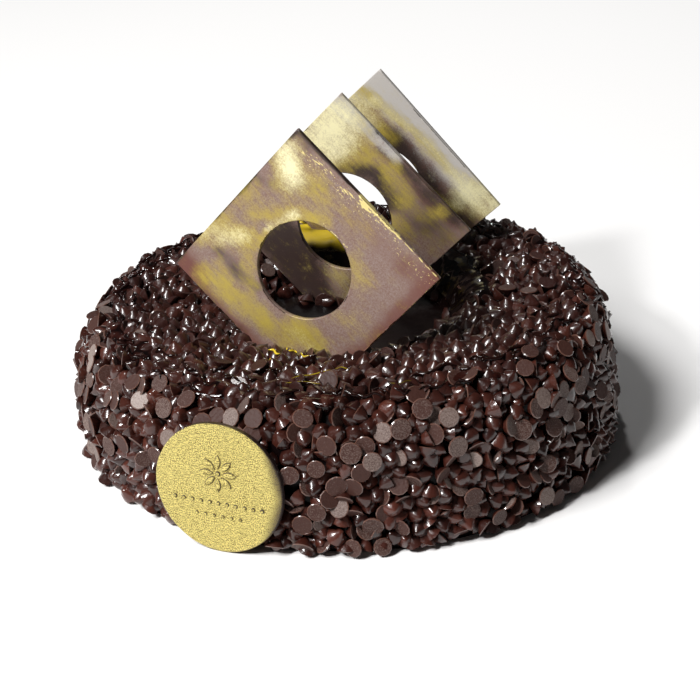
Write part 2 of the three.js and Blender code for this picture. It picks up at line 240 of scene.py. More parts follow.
@dataclass(frozen=True)
class Pose:
    """Where a flat piece stands.

    Attributes:
        middle: The middle of the piece.
        facing: Compass direction of its shown face; -90 is straight to the front.
        lean: How far it is tipped back, in degrees.
        roll: How far it is turned in its own plane, clockwise, in degrees.
    """

    middle: Point
    facing: float
    lean: float
    roll: float = 0.0

    def axes(self) -> Array:
        """Its own right, up and outward directions, as rows."""
        facing, lean, roll = (math.radians(v) for v in (self.facing, self.lean, self.roll))
        level = math.cos(lean)
        out = np.array([level * math.cos(facing), level * math.sin(facing), math.sin(lean)])
        across = np.cross(Z_AXIS, out)
        across /= np.linalg.norm(across)
        up = np.cross(out, across)
        right = math.cos(roll) * across - math.sin(roll) * up
        return np.array([right, np.cross(out, right), out])

    def place(self, local: Array) -> Array:
        """Moves points of the piece's own plane to where the piece stands."""
        return np.asarray(local) @ self.axes() + np.array(self.middle)

    def local(self, points: Array) -> Array:
        """Finds where points lie in the piece's own plane."""
        return (np.asarray(points) - np.array(self.middle)) @ self.axes().T


# ---------------------------------------------------------------- finishes


class Coat(Enum):
    """Coats brushed on a plaque, and painted shade and light. Each value is the name of the plaque's own number that
    says where it lies.
    """

    GOLD = "gold"
    PALE = "pale"
    SILVER = "silver"
    DARK = "dark"
    BROWN = "brown"
    LEAF = "leaf"
    SCRATCH = "scratch"


@dataclass(frozen=True)
class BakingChocolate:
    """Dark baking chocolate, deposited in drops on a belt.

    The skin of a drop is glossy and slightly dented. The flat side that lay on the belt is matt, grainy and greyer,
    because the cocoa butter blooms there. Its lip is painted lighter, a painted highlight where the rim catches the
    light. Glazed drops are darker.
    """

    name: str = "dark_baking_chocolate"
    skin: str = "#270e09"
    skin_light: str = "#4b251c"
    # Painted highlight: the colour of the lip's band, where the rim catches the light.
    lip: str = "#5a3d33"
    belt_side: str = "#3a2019"
    belt_bloomed: str = "#877871"
    glazed: str = "#28100c"
    lustre: str = "#c9ae2c"
    skin_roughness: float = 0.36
    belt_roughness: float = 0.6
    glazed_roughness: float = 0.4
    bloom_mm: float = 1.6
    dent_mm: float = 1.2
    grain_mm: float = 0.45
    grain_share: float = 1.4

    def material(self) -> Material:
        """Builds the material, which reads the drops' own numbers: tint, base, lip, glaze and gold."""
        material, shader, add = new_material(self.name)
        place = add("ShaderNodeTexCoord").outputs["Object"]
        own = {
            label: add("ShaderNodeAttribute", attribute_name=label).outputs["Fac"]
            for label in ("tint", "base", "lip", "glaze", "gold")
        }
        bloom, grain, dents = (
            add("ShaderNodeTexNoise", {"Vector": place, "Scale": 1 / (size * MM), "Detail": detail})
            for size, detail in ((self.bloom_mm, 3.0), (self.grain_mm, 2.0), (self.dent_mm, 3.0))
        )
        inputs = {"Value": bloom, "From Min": 0.5, "From Max": 0.75, "To Max": 0.35}
        patches = add("ShaderNodeMapRange", inputs)
        lightness = add("ShaderNodeMath", {0: own["tint"], 1: patches}, operation="MAXIMUM")
        inputs = {0: grain, 1: self.grain_share, 2: own["tint"]}
        grainy = add("ShaderNodeMath", inputs, operation="MULTIPLY_ADD")
        bloomed = add("ShaderNodeMapRange", {"Value": grainy, "From Min": 0.98, "From Max": 1.95})
        colour = linear(self.skin)
        inputs = {"Factor": bloomed, "A": linear(self.belt_side), "B": linear(self.belt_bloomed)}
        belt = add("ShaderNodeMix", inputs, data_type="RGBA")
        for share, over in (
            (lightness, linear(self.skin_light)),
            (own["base"], belt),
            # Painted highlight: the lip's band is lighter, as where the rim catches the light.
            (own["lip"], linear(self.lip)),
            (own["glaze"], linear(self.glazed)),
            (own["gold"], linear(self.lustre)),
        ):
            colour = add("ShaderNodeMix", {"Factor": share, "A": colour, "B": over}, data_type="RGBA")
        inputs = {"Value": own["base"], "To Min": self.skin_roughness, "To Max": self.belt_roughness}
        dry = add("ShaderNodeMapRange", inputs)
        rough = add("ShaderNodeMix", {"Factor": own["glaze"], "A": dry, "B": self.glazed_roughness})
        bump = add("ShaderNodeBump", {"Height": dents, "Strength": 0.55, "Distance": 0.45 * MM})
        wet = add("ShaderNodeMapRange", {"Value": own["base"], "To Min": 0.75, "To Max": 0.05})
        feed(shader, {"Base Color": colour, "Roughness": rough, "Normal": bump, "IOR": 1.45})
        feed(shader, {"Coat Weight": wet, "Coat Roughness": 0.08, "Specular IOR Level": 0.35})
        return material


@dataclass(frozen=True)
class Ganache:
    """Dark ganache, poured warm: nearly black, smooth and glossy, and brown where it runs thin over the chips."""

    name: str
    roughness: float
    specular: float
    still_roughness: float = 0.11
    colour: str = "#0a0404"
    thin: str = "#2a110d"
    lustre: str = "#c9ae2c"
    swell_mm: float = 7.0

    def material(self) -> Material:
        """Builds the material, which reads where the ganache is thin, where it is still and where gold fell."""
        material, shader, add = new_material(self.name)
        place = add("ShaderNodeTexCoord").outputs["Object"]
        own = {
            label: add("ShaderNodeAttribute", attribute_name=label).outputs["Fac"]
            for label in ("thin", "still", "gold")
        }
        inputs = {"Vector": place, "Scale": 1 / (self.swell_mm * MM), "Detail": 2.0}
        swell = add("ShaderNodeTexNoise", inputs)
        bump = add("ShaderNodeBump", {"Height": swell, "Strength": 0.35, "Distance": 1.2 * MM})
        colour = linear(self.colour)
        for label, over in (("thin", self.thin), ("gold", self.lustre)):
            inputs = {"Factor": own[label], "A": colour, "B": linear(over)}
            colour = add("ShaderNodeMix", inputs, data_type="RGBA")
        inputs = {"Factor": own["still"], "A": self.roughness, "B": self.still_roughness}
        rough = add("ShaderNodeMix", inputs)
        feed(shader, {"Base Color": colour, "Roughness": rough, "Normal": bump, "IOR": 1.46})
        feed(shader, {"Specular IOR Level": self.specular})
        return material


class Grain(Enum):
    """Noise on a plaque. Each value holds its size in mm, its stretch along the upper right side and its detail."""

    CLOUDS = (7.0, 1.0, 6.0)
    MOTTLE = (0.55, 1.0, 4.0)
    BRUSH = (1.3, 6.0, 4.0)
    FLAKES = (0.6, 3.5, 3.0)
    LINES = (0.5, 14.0, 2.0)
    SPECKS = (0.6, 1.3, 2.0)


@dataclass(frozen=True)
class Wear:
    """How a coat breaks up on a plaque.

    Attributes:
        coat: The coat.
        shares: How much of each noise is added to where the coat was brushed.
        low: The sum at which the coat begins to show.
        high: The sum at which it covers fully.
        most: How much it covers at the most.
    """

    coat: Coat
    shares: dict[Grain, float]
    low: float
    high: float
    most: float = 1.0


@dataclass(frozen=True)
class GildedChocolate:
    """Tempered chocolate set on a sheet, with gold lustre brushed over it and leaf pressed on its edges.

    The chocolate is mauve-brown and satin, darker or redder in places and silvery in others. The lustre lies on it
    as soft smears, fine and mottled. The leaf is torn to small flakes, lines and specks along the plaque's side. The
    dark coat also paints shade on the middle plaque's lower left, and silver with gold paint light on its lower
    right.
    """

    name: str = "gilded_tempered_chocolate"
    chocolate: str = "#6e5146"
    # Dark chocolate, also the colour of the painted shade.
    chocolate_dark: str = "#2b1c18"
    chocolate_brown: str = "#5e3229"
    silvery: str = "#aaa5a0"
    lustre: str = "#ad983f"
    lustre_pale: str = "#eee6b8"
    leaf: str = "#dcc985"
    mottle_rise: float = 0.35
    dust: Wear = Wear(Coat.GOLD, {Grain.CLOUDS: 1.2, Grain.MOTTLE: 0.8, Grain.BRUSH: 1.0}, 1.5, 2.75, 0.95)
    pale: Wear = Wear(Coat.PALE, {Grain.CLOUDS: 0.8, Grain.MOTTLE: 0.8}, 0.95, 1.9)
    brown: Wear = Wear(Coat.BROWN, {Grain.CLOUDS: 0.6, Grain.MOTTLE: 0.4}, 0.65, 1.4)
    silver: Wear = Wear(Coat.SILVER, {Grain.CLOUDS: 0.8, Grain.MOTTLE: 0.6}, 0.8, 1.45)
    # The dark coat also holds painted shade, on the middle plaque's lower left.
    dark: Wear = Wear(Coat.DARK, {Grain.CLOUDS: 1.0, Grain.MOTTLE: 0.8}, 0.95, 1.75)
    metal_parts: tuple[Wear, ...] = (
        Wear(Coat.LEAF, {Grain.FLAKES: 1.0}, 0.98, 1.08),
        Wear(Coat.SCRATCH, {Grain.LINES: 0.9}, 1.03, 1.2, 0.8),
        Wear(Coat.SCRATCH, {Grain.SPECKS: 0.9}, 1.0, 1.1),
    )

    def material(self) -> Material:
        """Builds the material, which reads where each coat lies from the plaque's own numbers."""
        material, shader, add = new_material(self.name)
        sheet = add("ShaderNodeAttribute", attribute_name="sheet").outputs["Vector"]
        along_edge = add("ShaderNodeMapping", {"Vector": sheet, "Rotation": (0, 0, math.radians(45))})
        own = {c: add("ShaderNodeAttribute", attribute_name=c.value).outputs["Fac"] for c in Coat}
        grains = {}
        for grain in Grain:
            size, stretch, detail = grain.value
            place = add("ShaderNodeMapping", {"Vector": along_edge, "Scale": (1 / stretch, 1, 1)})
            inputs = {"Vector": place, "Scale": 1 / size, "Detail": detail, "Roughness": 0.62}
            grains[grain] = add("ShaderNodeTexNoise", inputs)
        covers = []
        for wear in (self.dust, self.pale, self.silver, self.dark, self.brown, *self.metal_parts):
            level = own[wear.coat]
            for grain, share in wear.shares.items():
                inputs = {0: grains[grain], 1: share, 2: level}
                level = add("ShaderNodeMath", inputs, operation="MULTIPLY_ADD")
            inputs = {"Value": level, "From Min": wear.low, "From Max": wear.high, "To Max": wear.most}
            covers.append(add("ShaderNodeMapRange", inputs, interpolation_type="SMOOTHSTEP"))
        gold, pale, silver, dark, brown, leaf, *marks = covers
        for mark in marks:
            leaf = add("ShaderNodeMath", {0: leaf, 1: mark}, operation="MAXIMUM")
        mottle = grains[Grain.MOTTLE]
        inputs = {"Value": mottle, "From Min": 0.35, "From Max": 0.7, "To Max": 0.32}
        spots = add("ShaderNodeMapRange", inputs)
        inputs = {"Factor": pale, "A": linear(self.lustre), "B": linear(self.lustre_pale)}
        lustre = add("ShaderNodeMix", inputs, data_type="RGBA")
        colour = linear(self.chocolate)
        for share, over in (
            (spots, linear(self.silvery)),
            (brown, linear(self.chocolate_brown)),
            # dark carries the dark coat together with the painted shade.
            (dark, linear(self.chocolate_dark)),
            (silver, linear(self.silvery)),
            (gold, lustre),
            (leaf, linear(self.leaf)),
        ):
            colour = add("ShaderNodeMix", {"Factor": share, "A": colour, "B": over}, data_type="RGBA")
        metal = add("ShaderNodeMath", {0: gold, 1: leaf}, operation="MAXIMUM")
        metal = add("ShaderNodeMapRange", {"Value": metal, "To Max": 0.4})
        rough = add("ShaderNodeMapRange", {"Value": mottle, "To Min": 0.32, "To Max": 0.6})
        inputs = {0: mottle, 1: self.mottle_rise, 2: leaf}
        raised = add("ShaderNodeMath", inputs, operation="MULTIPLY_ADD")
        bump = add("ShaderNodeBump", {"Height": raised, "Strength": 0.25, "Distance": 0.12 * MM})
        feed(shader, {"Base Color": colour, "Metallic": metal, "Roughness": rough, "Normal": bump})
        return material


@dataclass(frozen=True)
class GoldDust:
    """Gold lustre dust, rubbed dry over a chocolate disc: pale, grainy and half metallic, worn off at the rim."""

    name: str = "gold_lustre_dust"
    dust: str = "#f0df88"
    dust_shade: str = "#65521e"
    chocolate: str = "#2a1713"
    grain_mm: float = 0.4
    streak_mm: float = 0.45
    streak_share: float = 0.4

    def material(self) -> Material:
        """Builds the material, which reads how bare the chocolate is, from wear and painted shade, from the disc's
        number called bare.
        """
        material, shader, add = new_material(self.name)
        sheet = add("ShaderNodeAttribute", attribute_name="sheet").outputs["Vector"]
        bare = add("ShaderNodeAttribute", attribute_name="bare").outputs["Fac"]
        brushed = add("ShaderNodeMapping", {"Vector": sheet, "Scale": (0.2, 1, 1)})
        noises = []
        for place, size in ((sheet, self.grain_mm), (brushed, self.streak_mm)):
            inputs = {"Vector": place, "Scale": 1 / size, "Detail": 4.0, "Roughness": 0.7}
            noises.append(add("ShaderNodeTexNoise", inputs))
        grain, streaks = noises
        inputs = {0: streaks, 1: self.streak_share, 2: grain}
        uneven = add("ShaderNodeMath", inputs, operation="MULTIPLY_ADD")
        shade = add("ShaderNodeMapRange", {"Value": uneven, "From Min": 0.6, "From Max": 0.77})
        level = add("ShaderNodeMath", {0: uneven, 1: bare}, operation="ADD")
        worn = add("ShaderNodeMapRange", {"Value": level, "From Min": 1.02, "From Max": 1.24})
        colour = linear(self.dust_shade)
        for share, over in ((shade, self.dust), (worn, self.chocolate)):
            inputs = {"Factor": share, "A": colour, "B": linear(over)}
            colour = add("ShaderNodeMix", inputs, data_type="RGBA")
        metal = add("ShaderNodeMapRange", {"Value": worn, "To Min": 0.6, "To Max": 0.0})
        bump = add("ShaderNodeBump", {"Height": grain, "Strength": 1.0, "Distance": 0.5 * MM})
        feed(shader, {"Base Color": colour, "Metallic": metal, "Normal": bump, "Roughness": 0.4})
        return material


# ---------------------------------------------------------------- the cake under its chips


@dataclass(frozen=True)
class CakeOutline:
    """The surface under the chips. Its height and radius follow a run from the middle of the pool to the foot.

    The pool, the well's slope, the ring's top, the shoulder and the side follow each other on the run. The cake was
    coated by hand, so it is slightly oval, and its right side is taller, squarer and leans in more.
    """

    radius: float = 102.4
    height: float = 53.6
    shoulder_width: float = 13.0
    shoulder_height: float = 23.0
    lean_in: float = 1.2
    well_radius: float = 54.0
    well_edge_drop: float = 1.2
    ring_rise: float = 1.2
    pool_radius: float = 42.0
    pool_height: float = 43.0
    oval_radius: float = 1.5
    oval_bearing: float = -12.0
    right_taller: float = 3.2
    right_squarer_width: float = 2.2
    right_squarer_height: float = 4.5
    right_leans_in: float = 2.4
    pool_end: float = 0.24
    well_end: float = 0.36
    top_end: float = 0.6
    shoulder_end: float = 0.8

    def points(self, run: Array, angle: Array) -> Array:
        """Places on the surface.

        Args:
            run: Runs from 0 in the middle of the pool to 1 at the foot.
            angle: Compass angles in radians.

        Returns:
            One point a row.
        """
        right = np.cos(angle)
        width = self.shoulder_width - self.right_squarer_width * right
        drop = self.shoulder_height - self.right_squarer_height * right
        lean = self.lean_in + self.right_leans_in * right
        edge = self.height + self.right_taller * right
        foot = self.radius + self.oval_radius * np.cos(2 * (angle - math.radians(self.oval_bearing)))
        top_radius = foot - lean - width
        well_edge = self.height - self.well_edge_drop + self.right_taller * right * self.well_radius / top_radius
        ends = (self.pool_end, self.well_end, self.top_end, self.shoulder_end)
        slope, ring, bend, side = (
            np.clip((run - start) / (end - start), 0, 1) for start, end in zip(ends, (*ends[1:], 1))
        )
        bend = math.pi / 2 * bend
        stretches = [run <= end for end in ends]
        radii = [
            self.pool_radius * run / self.pool_end,
            self.pool_radius + (self.well_radius - self.pool_radius) * slope,
            self.well_radius + (top_radius - self.well_radius) * ring,
            top_radius + width * np.sin(bend),
        ]
        heights = [
            np.full_like(run, self.pool_height),
            self.pool_height + (well_edge - self.pool_height) * (1 - np.cos(math.pi * slope)) / 2,
            well_edge + (edge - well_edge) * ring + self.ring_rise * 4 * ring * (1 - ring),
            edge - drop * (1 - np.cos(bend)),
        ]
        radius = np.select(stretches, radii, foot - lean * (1 - side) ** 2)
        height = np.select(stretches, heights, (edge - drop) * (1 - side))
        return np.column_stack([radius * np.cos(angle), radius * np.sin(angle), height])

    def normals(self, run: Array, angle: Array) -> Array:
        """The outward directions at places on the surface, one a row."""
        step = 1e-3
        down = self.points(np.minimum(run + step, 1), angle) - self.points(np.maximum(run - step, 0), angle)
        around = np.column_stack([-np.sin(angle), np.cos(angle), np.zeros_like(angle)])
        return unit(np.cross(down, around))

    def random_runs(self, rng: Rng, count: int, start: float, end: float) -> Array:
        """Runs between two others, drawn evenly by the area of the surface."""
        steps = 400
        runs = np.linspace(start, end, steps)
        ring = self.points(runs, np.full_like(runs, math.pi / 2))
        area = np.linalg.norm(np.diff(ring, axis=0), axis=1) * (ring[1:, 1] + ring[:-1, 1]) / 2
        share = np.concatenate([[0], np.cumsum(area)]) / area.sum()
        return np.interp(rng.random(count), share, runs)


@dataclass
class GanacheCore:
    """The body of the cake as it shows between the chips, with the pool of ganache in its sunken middle."""

    outline: CakeOutline
    finish: Ganache
    rows: int = 120
    columns: int = 200
    search_rows: int = 90
    search_columns: int = 144
    first_run: float = 0.01
    ripple: Waves = Waves(16, 3, 0.35)

    def grid(self, rows: int, columns: int) -> tuple[Array, Array]:
        """Runs and points of an even grid over the surface, without the pool's very middle."""
        run, angle = run_grid(np.linspace(self.first_run, 1, rows), columns)
        return run, self.outline.points(run, angle)

    def surface_tree(self) -> BVHTree:
        """The surface as a tree that finds the nearest place on it."""
        _, points = self.grid(self.search_rows, self.search_columns)
        return BVHTree.FromPolygons(points.tolist(), grid_faces(self.search_rows, self.search_columns))

    def build(self) -> Object:
        """Makes the closed core."""
        run, points = self.grid(self.rows, self.columns)
        points[:, 2] += np.where(run < self.outline.pool_end, self.ripple.at(points), 0)
        points[-self.columns :, 2] = 0
        top = np.array([[0, 0, points[: self.columns, 2].mean()]])
        last = len(points)
        faces = grid_faces(self.rows, self.columns)
        faces += [(last, j, (j + 1) % self.columns) for j in range(self.columns)]
        faces.append([last - self.columns + j for j in reversed(range(self.columns))])
        points = np.vstack([points, top])
        return mesh_piece("ganache_core", points, faces, self.finish.material())


# ---------------------------------------------------------------- the chips


@dataclass(frozen=True)
class DropShape:
    """One shape of chip: a flat round base, a flank that narrows, and a blunt point that may have curled over.

    The profile holds the radius of each ring of corners and its share of the height.
    """

    name: str
    height: float = 4.6
    curl: float = 0.0
    squash: float = 1.0
    dent: float = 0.0
    sides: int = 12
    profile: Path = ((3.35, 0.0), (3.65, 0.06), (3.12, 0.25), (2.35, 0.52), (0.95, 0.78))
    middle: float = 0.45
    tip_curl: float = 1.15

    def build(self) -> Object:
        """Makes the chip, its middle at the origin, with its base marked and the base's rim kept sharp."""
        angle = even_angles(self.sides)
        rows = []
        for radius, share in self.profile:
            x = radius * np.cos(angle) / self.squash + self.curl * share**3
            y = radius * np.sin(angle) * self.squash
            z = share * self.height - self.dent * np.clip(np.cos(angle), 0, 1) * share
            rows.append(np.column_stack([x, y, z]))
        tip = np.array([[self.curl * self.tip_curl, 0, self.height]])
        points = np.vstack([*rows, tip]) - np.array([0, 0, self.height * self.middle])
        faces = [tuple(reversed(f)) for f in grid_faces(len(rows), self.sides)]
        last = len(points) - 1
        first = last - self.sides
        faces += [(first + j, first + (j + 1) % self.sides, last) for j in range(self.sides)]
        faces.append([*reversed(range(self.sides))])
        mesh = bpy.data.meshes.new(self.name)
        mesh.from_pydata((points * MM).tolist(), [], faces)
        mesh.shade_smooth()
        mesh.attributes.new("base", "FLOAT", "FACE").data[len(faces) - 1].value = 1.0
        lip = mesh.attributes.new("lip", "FLOAT", "FACE")
        for i in range(self.sides):
            lip.data[i].value = 1.0
        sharp = mesh.attributes.new("sharp_edge", "BOOLEAN", "EDGE")
        for edge in mesh.edges:
            inner, outer = sorted(v // self.sides for v in edge.vertices)
            sharp.data[edge.index].value = inner == outer and inner < 2
        return bpy.data.objects.new(self.name, mesh)


class Lie(Enum):
    """How a chip lies in the coat.

    Each value holds its share on the side and on the top, the lean of its axis from outward, the spread of that lean
    and its depth.
    """

    POINT_OUT = (0.38, 0.5, 0.0, 38.0, 2.6)
    ON_SIDE = (0.40, 0.47, 90.0, 34.0, 2.0)
    BASE_OUT = (0.22, 0.03, 180.0, 32.0, 2.5)

    @classmethod
    def draw(cls, rng: Rng, on_top: Array) -> Array:
        """Draws ways of lying; each row holds a lean, its spread and a depth."""
        ways = np.array([way.value for way in cls])
        limits = np.cumsum(ways[:, :2], axis=0)[:, on_top.astype(int)]
        picks = np.minimum((rng.random(len(on_top)) > limits).sum(axis=0), len(ways) - 1)
        return ways[picks, 2:]


@dataclass
class DropPlaces:
    """Where chips lie, how each one is turned, which shape it has, and how light, glazed and golden it is."""

    centre: Array
    turn: Array
    shape: Array
    tint: Array
    glaze: Array
    gold: Array

    def only(self, keep: Array) -> "DropPlaces":
        """The chips that a mask keeps."""
        return DropPlaces(**{f.name: getattr(self, f.name)[keep] for f in fields(self)})


@dataclass(frozen=True)
class DropLook:
    """How chips differ: the share of each shape, how light they are as a mean and a spread, and what they took on."""

    shape_shares: tuple[float, ...] = (0.4, 0.25, 0.2, 0.15)
    tint: Span = (0.3, 0.3)
    bloomed_share: float = 0.06
    bloomed_tint: float = 0.8
    most_tint: float = 1.2
    least_glaze: float = 0.3
    gold_share: float = 0.5

    def turns(self, rng: Rng, axis: Array) -> Array:
        """Rotations that bring a chip's own up to its axis, spun at random about it."""
        rows = []
        for direction, spin in zip(axis, rng.random(len(axis)) * TURN):
            tilt = Vector(Z_AXIS).rotation_difference(Vector(direction))
            rows.append(tilt @ Matrix.Rotation(spin, 3, "Z").to_quaternion())
        return np.array([list(q) for q in rows], np.float32)

    def draw(self, rng: Rng, centre: Array, axis: Array, glaze: Array, gold: Array) -> DropPlaces:
        """Gives chips their shapes and looks.

        Args:
            rng: Draws them.
            centre: The middles of the chips.
            axis: Their axes from base to point.
            glaze: How much glaze lies on each.
            gold: How much gold dust fell there.

        Returns:
            The chips.
        """
        count = len(centre)
        turn = self.turns(rng, axis)
        shape = rng.choice(len(self.shape_shares), count, p=self.shape_shares).astype(np.int32)
        tint = rng.normal(*self.tint, count) + self.bloomed_tint * (rng.random(count) < self.bloomed_share)
        glaze = glaze * (self.least_glaze + (1 - self.least_glaze) * rng.random(count))
        gold = gold * (rng.random(count) < self.gold_share)
        return DropPlaces(centre, turn, shape, np.clip(tint, 0, self.most_tint), glaze, gold)


@dataclass
class ScatterTree:
    """The Geometry Nodes tree that puts a chip on each point, turned and tinted as the point says."""

    shapes: bpy.types.Collection
    tree: bpy.types.GeometryNodeTree = field(init=False)
    inputs: dict[str, str] = field(init=False)

    def __post_init__(self) -> None:
        """Builds the tree once; every group of chips uses it."""
        self.tree = bpy.data.node_groups.new("scattered_drops", "GeometryNodeTree")
        add = partial(add_node, self.tree)
        face = self.tree.interface
        face.new_socket("Geometry", in_out="INPUT", socket_type="NodeSocketGeometry")
        kinds = {
            "Drop Shapes": "Collection",
            "Drop Size": "Float",
            "Size Spread": "Float",
            "Seed": "Int",
            "Chocolate": "Material",
        }
        self.inputs = {
            name: face.new_socket(name, in_out="INPUT", socket_type="NodeSocket" + kind).identifier
            for name, kind in kinds.items()
        }
        face.new_socket("Geometry", in_out="OUTPUT", socket_type="NodeSocketGeometry")
        given = add("NodeGroupInput").outputs
        turn = add("GeometryNodeInputNamedAttribute", {"Name": "turn"}, data_type="QUATERNION")
        shape = add("GeometryNodeInputNamedAttribute", {"Name": "shape"}, data_type="INT")
        inputs = {0: given["Drop Size"], 1: given["Size Spread"]}
        smallest, largest = (add("ShaderNodeMath", inputs, operation=name) for name in ("SUBTRACT", "ADD"))
        inputs = {"Min": smallest, "Max": largest, "Seed": given["Seed"]}
        size = add("FunctionNodeRandomValue", inputs, data_type="FLOAT")
        inputs = {"Collection": given["Drop Shapes"], "Separate Children": True, "Reset Children": True}
        drops = add("GeometryNodeCollectionInfo", inputs)
        inputs = {
            "Points": given["Geometry"],
            "Instance": drops,
            "Pick Instance": True,
            "Instance Index": shape,
            "Rotation": turn,
            "Scale": size,
        }
        placed = add("GeometryNodeInstanceOnPoints", inputs)
        real = add("GeometryNodeRealizeInstances", {"Geometry": placed})
        dressed = add("GeometryNodeSetMaterial", {"Geometry": real, "Material": given["Chocolate"]})
        add("NodeGroupOutput", {"Geometry": dressed})

    def scatter(
        self, name: str, places: DropPlaces, material: Material, seed: int, spread: float
    ) -> Object:
        """Makes one plain mesh of chips.

        Args:
            name: The piece's name.
            places: Where the chips lie and how each one looks.
            material: Their chocolate.
            seed: Draws their sizes.
            spread: How far a chip's size strays from 1.

        Returns:
            The piece, riding on the cake's body.
        """
        seeds = bpy.data.meshes.new(name + "_places")
        seeds.from_pydata((places.centre * MM).tolist(), [], [])
        seeds.attributes.new("turn", "QUATERNION", "POINT").data.foreach_set("value", places.turn.ravel())
        seeds.attributes.new("shape", "INT", "POINT").data.foreach_set("value", places.shape)
        for label in ("tint", "glaze", "gold"):
            values = getattr(places, label).astype(np.float32)
            seeds.attributes.new(label, "FLOAT", "POINT").data.foreach_set("value", values)
        holder = new_object(name, seeds)
        modifier = holder.modifiers.new("Scatter", "NODES")
        modifier.node_group = self.tree
        for label, value in {
            "Drop Shapes": self.shapes,
            "Drop Size": 1.0,
            "Size Spread": spread,
            "Seed": seed,
            "Chocolate": material,
        }.items():
            modifier[self.inputs[label]] = value
        evaluated = holder.evaluated_get(bpy.context.evaluated_depsgraph_get())
        mesh = bpy.data.meshes.new_from_object(evaluated)
        holder.modifiers.remove(modifier)
        holder.data = mesh
        mesh.name = name
        bpy.data.meshes.remove(seeds)
        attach(holder, BODY)
        return holder


@dataclass
class ChipCoat:
    """The coat of chips, packed in a thin shell over the core and kept clear of the plaques and the medallion.

    The clearing is the free space over the pool that the record keeps clear. The pool's few chips lie in a row from
    end to end along a line, given by where it crosses the middle and by its slope.
    """

    outline: CakeOutline
    core: GanacheCore
    plaques: list["GildedPlaque"]
    medallion: "Medallion"
    finish: BakingChocolate
    look: DropLook = DropLook()
    count: int = 2600
    half_width: float = 3.45
    half_height: float = 2.3
    base_depth: float = 2.25
    base_reach: float = 3.85
    tip_height: float = 2.75
    tip_reach: float = 1.1
    size_spread: float = 0.1
    fit: float = 0.9
    rounds: int = 45
    push_share: float = 0.35
    pull_share: float = 0.15
    depth_low: float = 0.7
    depth_spread: float = 0.4
    envelope: float = 5.3
    envelope_spread: float = 0.45
    most_lean: float = 1.8
    lean_share: float = 0.75
    glaze_end: float = 0.635
    glaze_fade: float = 0.02
    glaze_waves: Waves = Waves(22, 5, 0.035)
    table_gap: float = 0.15
    clearing: tuple[Point, Point] = ((-24.0, -30.0, 44.3), (24.0, 8.0, 57.0))
    clear_share: float = 1.1
    clear_more: float = 0.3
    pool_count: int = 9
    pool_ends: Span = (-17, 13)
    pool_line: Span = (16.6, -0.355)
    pool_jitter: Span = (0.8, 0.4)
    pool_heights: Span = (0.6, 1.2)
    pool_upright: float = 0.6
    foot_count: int = 70
    foot_jitter: float = 0.8
    foot_near: float = 2.4
    foot_stray: float = 2.2
    foot_upright: float = 0.45
    foot_tilts: Span = (0.25, 0.35)
    seed: int = 11

    def below(self, axis: Array) -> Array:
        """How far the lowest points of chips are below their middles."""
        level = np.sqrt(np.clip(1 - axis[:, 2] ** 2, 0, 1))
        base = self.base_depth * axis[:, 2] + self.base_reach * level
        tip = self.tip_reach * level - self.tip_height * axis[:, 2]
        return np.maximum(base, tip) * (1 + self.size_spread)

    def reach(self, axis: Array, direction: Array) -> Array:
        """How far chips, taken as flattened balls, reach in given directions."""
        along = np.sum(axis * direction, axis=1) ** 2
        return np.sqrt(self.half_width**2 * (1 - along) + self.half_height**2 * along)

    def move_off(self, piece: "GildedPlaque | Medallion", centre: Array, axis: Array) -> None:
        """Moves chips off a plaque or the medallion."""
        piece.push_away(centre, self.reach(axis, piece.pose.axes()[2]))

    def neighbours(self, centre: Array) -> Array:
        """Pairs of chips that may touch, as a row of the first and a row of the second ones."""
        tree = KDTree(len(centre))
        for i, point in enumerate(centre):
            tree.insert(point, i)
        tree.balance()
        widest = 2 * self.half_width * self.fit
        near = ((i, j) for i, point in enumerate(centre) for _, j, _ in tree.find_range(point, widest))
        return np.array([(i, j) for i, j in near if j > i]).T

    def settle(self, centre: Array, axis: Array, depth: Array, proud: Array) -> Array:
        """Pushes overlapping chips apart while they stay in their shell.

        Args:
            centre: The middles of the chips.
            axis: Their axes.
            depth: How far above the core each would like to lie.
            proud: How far above the core each may reach.

        Returns:
            The new middles.
        """
        surface = self.core.surface_tree()
        for _ in range(self.rounds):
            first, second = self.neighbours(centre)
            gap = centre[second] - centre[first]
            distance = np.linalg.norm(gap, axis=1)
            direction = gap / np.maximum(distance, 1e-6)[:, None]
            need = self.fit * (self.reach(axis[first], direction) + self.reach(axis[second], direction))
            push = self.push_share * np.clip(need - distance, 0, None)[:, None] * direction
            np.add.at(centre, first, -push)
            np.add.at(centre, second, push)
            for piece in (*self.plaques, self.medallion):
                self.move_off(piece, centre, axis)
            found = [surface.find_nearest(p)[:2] for p in centre]
            on_core = np.array([f[0] for f in found])
            normal = np.array([f[1] for f in found])
            above = np.sum((centre - on_core) * normal, axis=1)
            highest = np.maximum(proud - self.reach(axis, normal), self.depth_low)
            wanted = np.clip(above + self.pull_share * (depth - above), self.depth_low, highest)
            centre += (wanted - above)[:, None] * normal
            centre[:, 2] = np.maximum(centre[:, 2], self.table_gap + self.below(axis))
        return centre

    def in_clearing(self, centre: Array, axis: Array) -> Array:
        """True for chips that reach into the free space over the pool."""
        away = centre - np.clip(centre, *np.array(self.clearing))
        distance = np.linalg.norm(away, axis=1)
        reach = self.reach(axis, away / np.maximum(distance, 1e-6)[:, None])
        return distance < self.clear_share * reach + self.clear_more

    def axes_for(self, rng: Rng, normal: Array, lean: Array, spread: Array) -> Array:
        """Draws the chips' axes, each leaning from outward by its way of lying."""
        sideways = unit(np.cross(normal, rng.normal(size=normal.shape)))
        strays = np.clip(rng.normal(size=len(lean)), -self.most_lean, self.most_lean)
        angle = np.radians(lean + spread * strays * self.lean_share)[:, None]
        return normal * np.cos(angle) + sideways * np.sin(angle)

